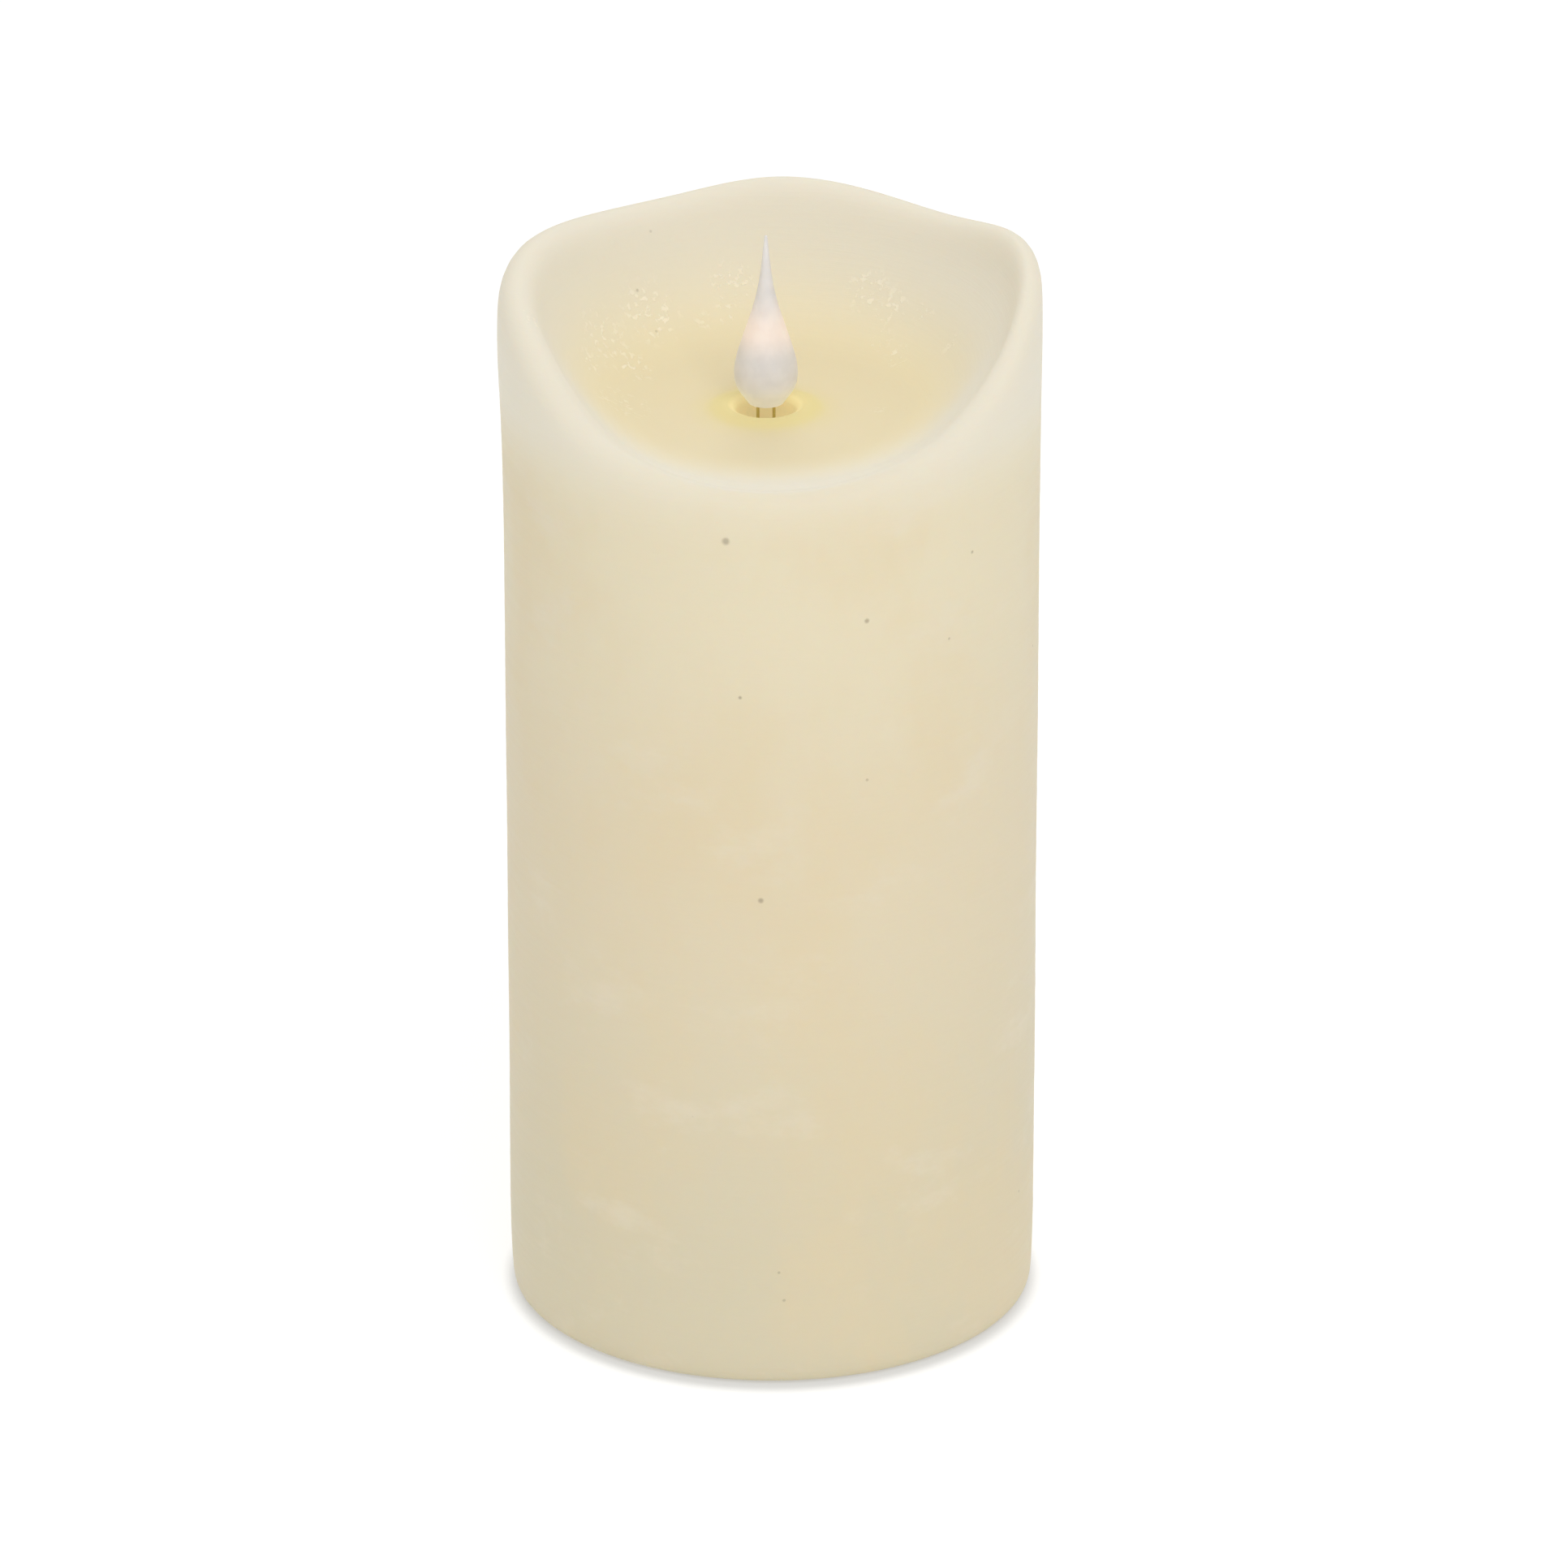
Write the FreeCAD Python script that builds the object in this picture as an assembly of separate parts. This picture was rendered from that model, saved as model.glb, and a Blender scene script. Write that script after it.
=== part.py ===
import FreeCAD, Part
import math
import os

# A battery-powered pillar candle: a hollow wax pillar with a melted, wavy rim, a small LED flame that
# stands on its two leads over a hole in the bowl, and a plastic core that holds two AA cells, a timer
# board, a slide switch and a hinged battery door. Millimetres. +Z is up, the origin is the centre of the
# circle that the candle stands on, and the low part of the rim faces -Y.

# ---- driving dimensions ----
pillar_r = 42.7             # outer radius of the wax
wax_bottom = 0.8            # the wax hangs just clear of the table
bottom_round = 2.6          # rounding of the wax's lower edge
bowl_floor = 151.6          # height of the flat middle of the bowl
cavity_r = 36.8             # bore that takes the plastic core
hollow_r = 34.8             # hollow over the core, whose lower shoulder sits on the core's top
hollow_top = 140.0
hollow_round = 12.0
flame_x = -0.9              # the flame and its hole sit a little off the pillar's axis
flame_hole_r = 4.8
shift_r0, shift_r1 = 9.0, 21.0    # the bowl is centred on the flame inside the first of these

# The melted rim at 16 equal steps round the pillar from +X, anticlockwise seen from above.
rim_height = (176.0, 176.5, 172.5, 174.5, 176.5, 173.0, 173.5, 175.0,
              173.0, 170.0, 158.0, 154.0, 152.5, 154.0, 158.0, 168.5)
rim_flare = (0.2, 0.2, 0.1, 0.0, 0.0, 0.0, 0.4, 0.8,
             0.8, 0.8, 0.4, 0.0, 0.0, 0.0, 0.1, 0.2)
rim_inset = (2.1, 2.1, 2.9, 3.0, 3.0, 3.0, 3.2, 2.8,
             2.8, 2.8, 3.2, 3.6, 3.6, 3.6, 3.2, 2.1)
side_heights = (20.0, 60.0, 100.0, 125.0)
lip_start, lip_full = 22.0, 13.0    # the flare begins and is full this far below the crest
# The bowl inside the lip, as radius and share of the way from its floor to the crest, and the low raised
# mouth of the flame's hole, as radius and height over the floor.
bowl_profile = ((28.5, 0.2), (24.0, 0.07), (18.0, 0.0), (12.0, 0.0))
bowl_wall_r = 32.2
mouth_profile = ((9.4, 0.1), (7.6, 0.8), (6.0, 1.15), (5.0, 0.4), (4.4, -1.4))

# Flame: outline from its flat base to its rounded tip, as radius and height.
flame_outline = ((3.5, 153.8), (4.6, 155.5), (5.05, 158.0), (4.3, 162.0), (2.85, 166.5), (1.55, 171.0),
                 (0.8, 175.5))
flame_base, flame_base_r = 152.8, 2.8
flame_base_round = 0.3
flame_tip, flame_tip_r = 181.0, 0.25

# Plastic core.
core_r = 36.6
core_wall = 1.6
core_top = 38.0
plate_bottom = 1.0
plate_top = 3.2
fit_gap = 0.3               # round the door and other loose plastic parts
foot_r = 4.0
foot_place = 22.6           # feet at plus and minus this in X and Y
foot_recess_top = 1.8
screw_x = 13.2              # core screws at plus and minus these
screw_y = 28.4
screw_seat = 2.2            # underside of the core screws' heads in the plate
screw_head_r, screw_head_h = 2.6, 1.05
screw_hole_r = 1.4
core_pilot_r = 1.1
core_pilot_top = 17.0
core_post_r = 3.3
shank_gap = 0.02
stem_boss_r, stem_boss_top = 8.6, 45.0
gusset_reach = 24.0

# Battery box: the space inside, its walls and the two cells.
box_x0, box_x1 = -27.1, 29.1
box_half_y = 15.5
box_wall = 1.4
box_ceiling, box_top = 18.3, 20.0
cell_r = 7.25
cell_length = 50.5
cell_nub = 1.0
cell_y = 7.6
cell_z = 10.55
contact_t = 0.3
contact_half = 5.0
tab_half = 1.5
tab_top = 22.5
spring_wire_r = 0.35
spring_wide, spring_narrow = 4.3, 2.7
spring_turns, spring_steps = 4, 12

# Battery door and its hinge.
door_top = 2.8
hinge_x, hinge_z = -31.0, 2.7
hinge_barrel_r = 1.5
hinge_half = 10.3
hinge_notch_x = -33.6
trunnion_r = 1.0
trunnion_bore_r = 1.05
trunnion_reach = 12.6
tongue_x = 34.0
tongue_half = 5.0
rib_h = 0.35                # ribs across the door's inside, under the cells
grip_count, grip_pitch, grip_h = 4, 1.3, 0.3

# Slide switch, drawn with its lever at the middle of its travel, then set to ON.
switch_y = -23.0
switch_travel = 4.0
switch_floor = 5.2
switch_metal = 0.4
switch_half_x, switch_half_y = 6.5, 3.2
switch_top = 9.6
switch_ear_x, switch_ear_y = 11.2, 2.0
switch_post_r = 2.1
block_half_x, block_half_y = 3.0, 2.4
block_top = 7.3
insulator_bottom, insulator_top = 8.0, 9.2
terminal_top = 12.0
well_half_x, well_half_y = 8.0, 3.4
well_top = 2.2
mark_h = 0.25
mark_y = -28.6
mark_pitch = 4.2
switch_screw_x = 9.0
lever_half = 1.2
lever_bottom = 1.4
terminal_pitch = 2.0

# Circuit board on the battery box.
board_half_x, board_half_y = 17.0, 13.0
board_bottom, board_top = 23.0, 24.6
board_post = (13.5, 10.0)
board_post_r = 2.6
board_pilot_r = 0.9

# Stem, socket and LED.
stem_r, stem_bore_r = 6.5, 4.5
stem_top = 139.0
socket_r = 4.7
socket_top = 147.5
socket_flange_r, socket_flange_top = 6.2, 139.9
socket_spigot_r = 4.4
socket_bottom = 130.0
lead_pitch = 2.54
lead_r = 0.25
lead_bottom = 121.0
led_bottom = 152.9
led_flange_top = 153.9
led_r, led_flange_r = 1.5, 1.9
led_shoulder = 156.7

wire_r = 0.6
wire_height = 29.0          # the loops from contacts and switch to the board


# ---- helpers ----
def vec(x, y, z):
    return FreeCAD.Vector(x, y, z)


def box(x0, x1, y0, y1, z0, z1):
    return Part.makeBox(x1 - x0, y1 - y0, z1 - z0, vec(x0, y0, z0))


def cyl(r, z0, z1, x=0.0, y=0.0):
    return Part.makeCylinder(r, z1 - z0, vec(x, y, z0))


def tube(r_out, r_in, z0, z1, x=0.0, y=0.0):
    return cyl(r_out, z0, z1, x, y).cut(cyl(r_in, z0, z1, x, y))


def cyl_x(r, x0, x1, y, z):
    return Part.makeCylinder(r, x1 - x0, vec(x0, y, z), vec(1, 0, 0))


def cyl_y(r, y0, y1, x, z):
    return Part.makeCylinder(r, y1 - y0, vec(x, y0, z), vec(0, 1, 0))


def four_corners(x, y):
    return [(i * x, j * y) for i in (1, -1) for j in (1, -1)]


def round_upright_edges(shape, radius):
    """Fillet the edges of a block that run along Z."""
    upright = [e for e in shape.Edges
               if abs(e.Vertexes[0].X - e.Vertexes[-1].X) < 1e-6
               and abs(e.Vertexes[0].Y - e.Vertexes[-1].Y) < 1e-6 and e.Length > 1e-6]
    return shape.makeFillet(radius, upright)


def revolve(edges):
    """Turn a closed outline in the XZ plane about Z."""
    face = Part.Face(Part.Wire(edges))
    return face.revolve(vec(0, 0, 0), vec(0, 0, 1), 360)


def wire_along(points, radius, bend):
    """A round wire along straight runs joined by tangent arcs."""
    edges = []
    start = points[0]
    for before, corner, after in zip(points, points[1:], points[2:]):
        to_corner = (corner - before).normalize()
        from_corner = (after - corner).normalize()
        half_turn = to_corner.getAngle(from_corner) / 2
        setback = bend * math.tan(half_turn)
        arc_start = corner - to_corner * setback
        arc_end = corner + from_corner * setback
        to_middle = (from_corner - to_corner).normalize()
        middle = corner + to_middle * (bend / math.cos(half_turn) - bend)
        edges.append(Part.LineSegment(start, arc_start).toShape())
        edges.append(Part.Arc(arc_start, middle, arc_end).toShape())
        start = arc_end
    edges.append(Part.LineSegment(start, points[-1]).toShape())
    path = Part.Wire(edges)
    section = Part.Wire(Part.makeCircle(radius, points[0], points[1] - points[0]))
    solid = path.makePipeShell([section], True, False)
    expected = path.Length * math.pi * radius ** 2
    print(f"wire: bend {bend:.1f} mm, volume {solid.Volume / expected:.4f} of section times length")
    return solid


def smooth_solid(rows):
    """A solid whose side is one smooth surface over rings of control points, with flat ends."""
    surface = Part.BSplineSurface()
    along = len(rows)
    around = len(rows[0])
    surface.buildFromPolesMultsKnots(rows, [4] + [1] * (along - 4) + [4], [1] * (around + 1),
                                     [float(k) for k in range(along - 2)],
                                     [float(k) for k in range(around + 1)], False, True, 3, 3)
    side = surface.toShape()
    caps = [Part.Face(Part.Wire([e])) for e in side.Edges if e.isClosed()]
    shell = Part.makeShell([side] + caps)
    shell.sewShape()
    solid = Part.makeSolid(shell)
    if solid.Volume < 0:
        solid.reverse()
    return solid


def ring_smoothing(steps):
    """A smooth ring shrinks inside its control points by this much."""
    return 3 / (2 + math.cos(2 * math.pi / steps))


def save(name, *solids):
    shape = solids[0] if len(solids) == 1 else Part.makeCompound(list(solids))
    print(f"{name}: {len(shape.Solids)} solids, valid {shape.isValid()}, {shape.Volume:.1f} mm3")
    shape.exportStep(f"parts/{name}.step")


# ---- wax pillar ----
def skin_row(radius, height):
    """One ring of control points; radius and height are numbers or lists with a value for each step."""
    steps = len(rim_height)
    smoothing = ring_smoothing(steps)
    row = []
    for i in range(steps):
        r = radius[i] if isinstance(radius, list) else radius
        z = height[i] if isinstance(height, list) else height
        angle = 2 * math.pi * i / steps
        shift = flame_x * min(1.0, max(0.0, (shift_r1 - r) / (shift_r1 - shift_r0)))
        row.append(vec(smoothing * r * math.cos(angle) + shift, smoothing * r * math.sin(angle), z))
    return row


def rim_row(out, inset, drop, drop_inset):
    """A ring near the crest, moved out by a share of the flare, in by a share of the inset, and down."""
    radius = [pillar_r + out * f - inset * w for f, w in zip(rim_flare, rim_inset)]
    height = [h - drop - drop_inset * w for h, w in zip(rim_height, rim_inset)]
    return skin_row(radius, height)


def bowl_row(radius, share):
    """A ring of the bowl: share of the way from the bowl's floor to the crest above it."""
    return skin_row(radius, [bowl_floor + share * (h - bowl_floor) for h in rim_height])


def wax_rows():
    """Control rings of the wax's outer skin, from the foot over the rim into the flame's hole."""
    rows = [skin_row(pillar_r - bottom_round, wax_bottom),
            skin_row(pillar_r - 0.45 * bottom_round, wax_bottom),
            skin_row(pillar_r, wax_bottom + 0.55 * bottom_round),
            skin_row(pillar_r, wax_bottom + 2 * bottom_round)]
    rows += [skin_row(pillar_r, z) for z in side_heights]
    rows += [rim_row(0.25, 0, lip_start, 0), rim_row(1, 0, lip_full, 0), rim_row(1, 0, 0, 1.6)]
    rows += [rim_row(1, 0.15, 0, 0.35), rim_row(1, 1, 0, -0.25), rim_row(0, 1.9, 0, 0.3)]
    inner_lip = [pillar_r - 2.4 * w for w in rim_inset]
    rows += [bowl_row(inner_lip, 0.72), bowl_row([min(bowl_wall_r, r) for r in inner_lip], 0.42)]
    rows += [bowl_row(r, share) for r, share in bowl_profile]
    rows += [skin_row(r, bowl_floor + rise) for r, rise in mouth_profile]
    return rows


def wax_pillar():
    pillar = smooth_solid(wax_rows())
    hollow = cyl(hollow_r, core_top, hollow_top)
    crown = [e for e in hollow.Edges if e.isClosed() and abs(e.BoundBox.ZMin - hollow_top) < 1e-3]
    hollow = hollow.makeFillet(hollow_round, crown)
    pillar = pillar.cut(cyl(cavity_r, wax_bottom - 1, core_top))
    pillar = pillar.cut(hollow)
    return pillar.cut(cyl(flame_hole_r, hollow_top - 1, bowl_floor + 3, flame_x))


# ---- flame and LED ----
def flame_diffuser():
    base_out = vec(flame_base_r, 0, flame_base)
    tip = vec(0, 0, flame_tip)
    tip_out = vec(flame_tip_r, 0, flame_tip - flame_tip_r)
    tip_middle = tip_out + vec(flame_tip_r * (math.sqrt(0.5) - 1), 0, flame_tip_r * math.sqrt(0.5))
    side = Part.BSplineCurve()
    side.interpolate([base_out] + [vec(r, 0, z) for r, z in flame_outline] + [tip_out])
    edges = [Part.LineSegment(vec(0, 0, flame_base), base_out).toShape(), side.toShape(),
             Part.Arc(tip_out, tip_middle, tip).toShape(),
             Part.LineSegment(tip, vec(0, 0, flame_base)).toShape()]
    flame = revolve(edges)
    base_edge = [e for e in flame.Edges if e.isClosed() and abs(e.BoundBox.ZMax - flame_base) < 1e-3]
    flame = flame.makeFillet(flame_base_round, base_edge)
    room = 0.1
    pocket = cyl(led_flange_r + room, flame_base, led_flange_top)
    pocket = pocket.fuse(cyl(led_r + room, flame_base, led_shoulder))
    pocket = pocket.fuse(Part.makeSphere(led_r + room, vec(0, 0, led_shoulder)))
    return moved(flame.cut(pocket), flame_x)


def moved(shape, x=0.0, y=0.0, z=0.0):
    shape.translate(vec(x, y, z))
    return shape


def led_lens():
    lens = cyl(led_flange_r, led_bottom, led_flange_top).fuse(cyl(led_r, led_bottom, led_shoulder))
    lens = lens.fuse(Part.makeSphere(led_r, vec(0, 0, led_shoulder))).removeSplitter()
    return moved(lens, flame_x)


def lead_places():
    return (flame_x - lead_pitch / 2, flame_x + lead_pitch / 2)


def led_leads():
    return [cyl(lead_r, lead_bottom, led_bottom, x) for x in lead_places()]


def lead_sleeves():
    """Insulating sleeves over the joints between leads and wires."""
    return [tube(0.95, lead_r + 0.02, lead_bottom, 129.0, x) for x in lead_places()]


def flame_socket():
    """A round block in the wax's hole, flanged over the stem's end, with a countersunk hole for each lead."""
    body = cyl(socket_r, stem_top, socket_top, flame_x)
    body = body.makeChamfer(0.5, [e for e in body.Edges
                                  if e.isClosed() and e.BoundBox.ZMin > socket_top - 1e-3])
    body = body.fuse(cyl(socket_flange_r, stem_top, socket_flange_top, flame_x))
    body = body.fuse(cyl(socket_spigot_r, socket_bottom, stem_top, flame_x))
    for x in lead_places():
        body = body.cut(cyl(lead_r + 0.03, socket_bottom, socket_top, x))
        body = body.cut(Part.makeCone(lead_r, 0.7, 0.6, vec(x, 0, socket_top - 0.6)))
    return body


def flame_stem():
    """The tube that carries the socket, with two vent slots near its foot."""
    stem = tube(stem_r, stem_bore_r, core_top, stem_top, flame_x)
    slot = box(flame_x - 10, flame_x + 10, -1.2, 1.2, 52.0, 60.0)
    return stem.cut(slot)


# ---- plastic core ----
def core_can():
    """The cup over the works: its top carries the stem, and four long posts take the screws."""
    can = tube(core_r, core_r - core_wall, plate_top, core_top)
    can = can.fuse(cyl(core_r - core_wall, core_top - core_wall, core_top))
    can = can.fuse(cyl(stem_boss_r, core_top, stem_boss_top, flame_x))
    for turn in range(4):
        can = can.fuse(core_gusset(45 + 90 * turn))
    for x, y in four_corners(screw_x, screw_y):
        can = can.fuse(cyl(core_post_r, plate_top, core_top - core_wall, x, y))
        can = can.cut(cyl(core_pilot_r, plate_top, core_pilot_top, x, y))
    can = can.cut(cyl(stem_r + 0.05, core_top, stem_boss_top, flame_x))
    return can.cut(cyl(stem_bore_r, core_top - core_wall, core_top, flame_x)).removeSplitter()


def core_gusset(angle):
    """A triangular rib from the stem's boss down to the can's top."""
    foot = core_top - 0.5
    inner = stem_boss_r - 1
    corners = [vec(inner, 0, foot), vec(gusset_reach, 0, foot), vec(gusset_reach, 0, core_top + 0.6),
               vec(inner, 0, stem_boss_top - 1), vec(inner, 0, foot)]
    rib = Part.Face(Part.makePolygon(corners)).extrude(vec(0, core_wall, 0))
    rib.translate(vec(0, -core_wall / 2, 0))
    rib.rotate(vec(0, 0, 0), vec(0, 0, 1), angle)
    return moved(rib, flame_x)


def battery_box():
    """Outer block and inner space of the battery box."""
    outer = box(box_x0 - box_wall, box_x1 + box_wall, -box_half_y - box_wall, box_half_y + box_wall,
                plate_bottom, box_top)
    outer = round_upright_edges(outer, 2.0)
    inner = box(box_x0, box_x1, -box_half_y, box_half_y, plate_bottom, box_ceiling)
    return outer, inner


def hinge_cuts(housing):
    """Lugs with the bores that hold the door's trunnions, and room for its barrel between them."""
    notch_half = hinge_half + fit_gap
    lugs = box(hinge_x - 2.2, box_x0 - box_wall + 0.5, -13.4, 13.4, plate_bottom, hinge_z + 2.2)
    housing = housing.fuse(lugs.common(cyl(core_r - core_wall - fit_gap, plate_bottom, box_top)))
    housing = housing.cut(box(hinge_notch_x, box_x0, -notch_half, notch_half, plate_bottom, 4.8))
    bore_end = trunnion_reach + 0.2
    return housing.cut(cyl_y(trunnion_bore_r, -bore_end, bore_end, hinge_x, hinge_z))


def base_housing():
    """The round base plate with the battery box, board posts and switch posts moulded on it."""
    outer, inner = battery_box()
    housing = cyl(core_r, plate_bottom, plate_top)
    housing = housing.makeChamfer(0.5, [e for e in housing.Edges
                                        if e.isClosed() and e.BoundBox.ZMax < plate_bottom + 1e-3])
    housing = housing.fuse(outer).cut(inner)
    housing = hinge_cuts(housing)
    housing = housing.cut(box(box_x1 - 0.1, tongue_x + fit_gap, -tongue_half - fit_gap,
                              tongue_half + fit_gap, plate_bottom, plate_top))
    for x, y in board_posts():
        housing = housing.fuse(cyl(board_post_r, box_top - 0.5, board_bottom, x, y))
        housing = housing.cut(cyl(board_pilot_r, box_top, board_bottom, x, y))
    for x in (switch_screw_x, -switch_screw_x):
        housing = housing.fuse(cyl(switch_post_r, plate_top - 0.5, switch_floor, x, switch_y))
        housing = housing.cut(cyl(board_pilot_r, well_top, switch_floor, x, switch_y))
    housing = housing.cut(switch_well())
    for x, y in four_corners(screw_x, screw_y):
        housing = housing.cut(cyl(screw_hole_r, plate_bottom, plate_top, x, y))
        housing = housing.cut(cyl(screw_head_r + 0.2, plate_bottom, screw_seat, x, y))
    for x, y in four_corners(foot_place, foot_place):
        housing = housing.cut(cyl(foot_r + 0.05, plate_bottom, foot_recess_top, x, y))
    for y in (cell_y, -cell_y):
        tab_slot = box(box_x1 - contact_t - 0.15, box_x1 + 0.1, y - tab_half - 0.2, y + tab_half + 0.2,
                       box_ceiling - 1, box_top)
        housing = housing.cut(tab_slot)
    return housing.fuse(switch_marks()).removeSplitter()


def switch_well():
    """A shallow finger well in the plate's underside, and the slot for the switch's lever."""
    well = box(-well_half_x, well_half_x, switch_y - well_half_y, switch_y + well_half_y,
               plate_bottom, well_top)
    well = round_upright_edges(well, well_half_y - 0.1)
    half = switch_travel / 2 + lever_half + 0.4
    slot = box(-half, half, switch_y - lever_half - 0.3, switch_y + lever_half + 0.3,
               plate_bottom, plate_top)
    return well.fuse(slot)


def switch_marks():
    """Raised marks for the switch's three places: a bar for on, a ring for off, a clock for the timer."""
    low, high = plate_bottom - mark_h, plate_bottom + mark_h
    y = mark_y
    bar = box(-mark_pitch - 0.25, -mark_pitch + 0.25, y - 1.0, y + 1.0, low, high)
    off_ring = tube(1.0, 0.6, low, high, 0.0, y)
    clock = tube(1.2, 0.85, low, high, mark_pitch, y)
    hand_up = box(mark_pitch - 0.1, mark_pitch + 0.1, y, y + 0.9, low, high)
    hand_side = box(mark_pitch - 0.1, mark_pitch + 0.55, y - 0.1, y + 0.1, low, high)
    return bar.fuse([off_ring, clock, hand_up, hand_side])


def board_posts():
    x, y = board_post
    return ((x, y), (-x, -y))


def battery_door():
    """The door plate with its barrel and trunnions at one end and the latch tongue at the other."""
    hinge_gap = 2 * fit_gap     # the hinge end's upper edge swings back towards the plate
    door = box(box_x0 + hinge_gap, box_x1 - fit_gap, -box_half_y + fit_gap, box_half_y - fit_gap,
               plate_bottom, door_top)
    door = round_upright_edges(door, 0.8)
    tongue = box(box_x1 - 1, tongue_x, -tongue_half, tongue_half, plate_bottom, door_top)
    door = door.fuse(round_upright_edges(tongue, 0.8))
    arm = box(hinge_x, box_x0 + 1, -hinge_half, hinge_half, hinge_z - hinge_barrel_r, door_top)
    door = door.fuse([arm, cyl_y(hinge_barrel_r, -hinge_half, hinge_half, hinge_x, hinge_z),
                      cyl_y(trunnion_r, -trunnion_reach, trunnion_reach, hinge_x, hinge_z)])
    for x in (-20.0, 0.0, 20.0):
        for y in (cell_y, -cell_y):
            door = door.fuse(box(x - 0.6, x + 0.6, y - 4.5, y + 4.5, door_top - 0.5, door_top + rib_h))
    for i in range(grip_count):
        x = tongue_x - 2.0 - grip_pitch * i
        door = door.fuse(box(x, x + 0.5, -3.6, 3.6, plate_bottom - grip_h, plate_bottom + grip_h))
    return door.removeSplitter()


def rubber_feet():
    feet = []
    for x, y in four_corners(foot_place, foot_place):
        foot = cyl(foot_r, 0.0, foot_recess_top, x, y)
        lower_edge = [e for e in foot.Edges if e.isClosed() and e.BoundBox.ZMax < 1e-3]
        feet.append(foot.makeFillet(0.4, lower_edge))
    return feet


def cross_screw(head_r, head_h, shank_r, shank_h, turned_up):
    """A pan-head screw with a cross recess; its shank points up from the origin, or down."""
    head = cyl(head_r, -head_h, 0)
    outer_edge = [e for e in head.Edges if e.isClosed() and e.BoundBox.ZMax < -head_h + 1e-3]
    head = head.makeFillet(0.35 * head_h, outer_edge)
    half, width, deep = 0.62 * head_r, 0.16 * head_r, 0.55 * head_h
    for a, b in ((half, width), (width, half)):
        head = head.cut(box(-a, a, -b, b, -head_h, -head_h + deep))
    shank = cyl(shank_r, 0, shank_h)
    tip_edge = [e for e in shank.Edges if e.isClosed() and e.BoundBox.ZMin > shank_h - 1e-3]
    screw = head.fuse(shank.makeChamfer(0.5 * shank_r, tip_edge))
    if not turned_up:
        screw.rotate(vec(0, 0, 0), vec(1, 0, 0), 180)
    return screw


def base_screws():
    return [moved(cross_screw(screw_head_r, screw_head_h, core_pilot_r - shank_gap, 11.0, True),
                  x, y, screw_seat) for x, y in four_corners(screw_x, screw_y)]


def board_screws():
    return [moved(cross_screw(1.9, 1.3, board_pilot_r - shank_gap, 4.2, False), x, y, board_top)
            for x, y in board_posts()]


def switch_screws():
    ear_top = switch_floor + switch_metal
    return [moved(cross_screw(1.7, 1.1, board_pilot_r - shank_gap, 2.9, False), x, switch_y, ear_top)
            for x in (switch_screw_x, -switch_screw_x)]


# ---- cells and contacts ----
def cell(nub_x, y, points_plus_x):
    """An AA cell with its raised cap at nub_x."""
    sign = -1 if points_plus_x else 1
    can_start = nub_x + sign * cell_nub
    can_end = nub_x + sign * cell_length
    body = cyl_x(cell_r, min(can_start, can_end), max(can_start, can_end), y, cell_z)
    body = body.makeFillet(0.5, [e for e in body.Edges if e.isClosed()])
    cap_x = min(nub_x, can_start + sign * 0.5)
    cap = cyl_x(2.7, cap_x, cap_x + cell_nub + 0.5, y, cell_z)
    return body.fuse(cap).removeSplitter()


def front_nub_x():
    return box_x1 - contact_t


def rear_nub_x():
    return box_x0 + contact_t


def contact_plate(x0, y, with_tab):
    """A square contact; the ones on the wired side have a solder tab through the box's ceiling."""
    plate = box(x0, x0 + contact_t, y - contact_half, y + contact_half, cell_z - contact_half,
                cell_z + contact_half)
    if with_tab:
        plate = plate.fuse(box(x0, x0 + contact_t, y - tab_half, y + tab_half, cell_z, tab_top))
    return plate.removeSplitter()


def link_contact():
    """One plate across both cells at the hinge end."""
    return box(box_x0, box_x0 + contact_t, -cell_y - contact_half, cell_y + contact_half,
               cell_z - contact_half, cell_z + contact_half)


def cell_spring(x_plate, x_cell, y):
    """A conical spring, wide at its plate and narrow at the cell."""
    clear = spring_wire_r + 0.03
    direction = math.copysign(1.0, x_cell - x_plate)
    height = abs(x_cell - x_plate) - 2 * clear
    stations = spring_turns * spring_steps
    wire_steps = 8
    wire_pole_r = spring_wire_r * ring_smoothing(wire_steps)
    rows = []
    for i in range(stations + 1):
        share = i / stations
        angle = 2 * math.pi * i / spring_steps
        coil_r = spring_wide + share * (spring_narrow - spring_wide)
        outward = vec(0, math.cos(angle), math.sin(angle))
        centre = vec(x_plate + direction * (clear + share * height), y, cell_z) + outward * coil_r
        row = []
        for j in range(wire_steps):
            turn = 2 * math.pi * j / wire_steps
            across = outward * math.cos(turn) + vec(math.sin(turn), 0, 0)
            row.append(centre + across * wire_pole_r)
        rows.append(row)
    return smooth_solid(rows)


# ---- slide switch ----
def switch_frame():
    """The folded metal case, open at its top, with a slot for the lever and an ear at each end."""
    y0, y1 = switch_y - switch_half_y, switch_y + switch_half_y
    case = box(-switch_half_x, switch_half_x, y0, y1, switch_floor, switch_top)
    case = case.cut(box(-switch_half_x + switch_metal, switch_half_x - switch_metal, y0 + switch_metal,
                        y1 - switch_metal, switch_floor + switch_metal, switch_top))
    ears = box(-switch_ear_x, switch_ear_x, switch_y - switch_ear_y, switch_y + switch_ear_y,
               switch_floor, switch_floor + switch_metal)
    case = case.fuse(round_upright_edges(ears, 1.2))
    half = switch_travel / 2 + lever_half + 0.3
    case = case.cut(box(-half, half, switch_y - lever_half - 0.2, switch_y + lever_half + 0.2,
                        switch_floor, switch_floor + switch_metal))
    for x in (switch_screw_x, -switch_screw_x):
        case = case.cut(cyl(board_pilot_r + 0.1, switch_floor, switch_top, x, switch_y))
    return case.removeSplitter()


def terminal_places():
    return [terminal_pitch * (i - 1.5) for i in range(4)]


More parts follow.
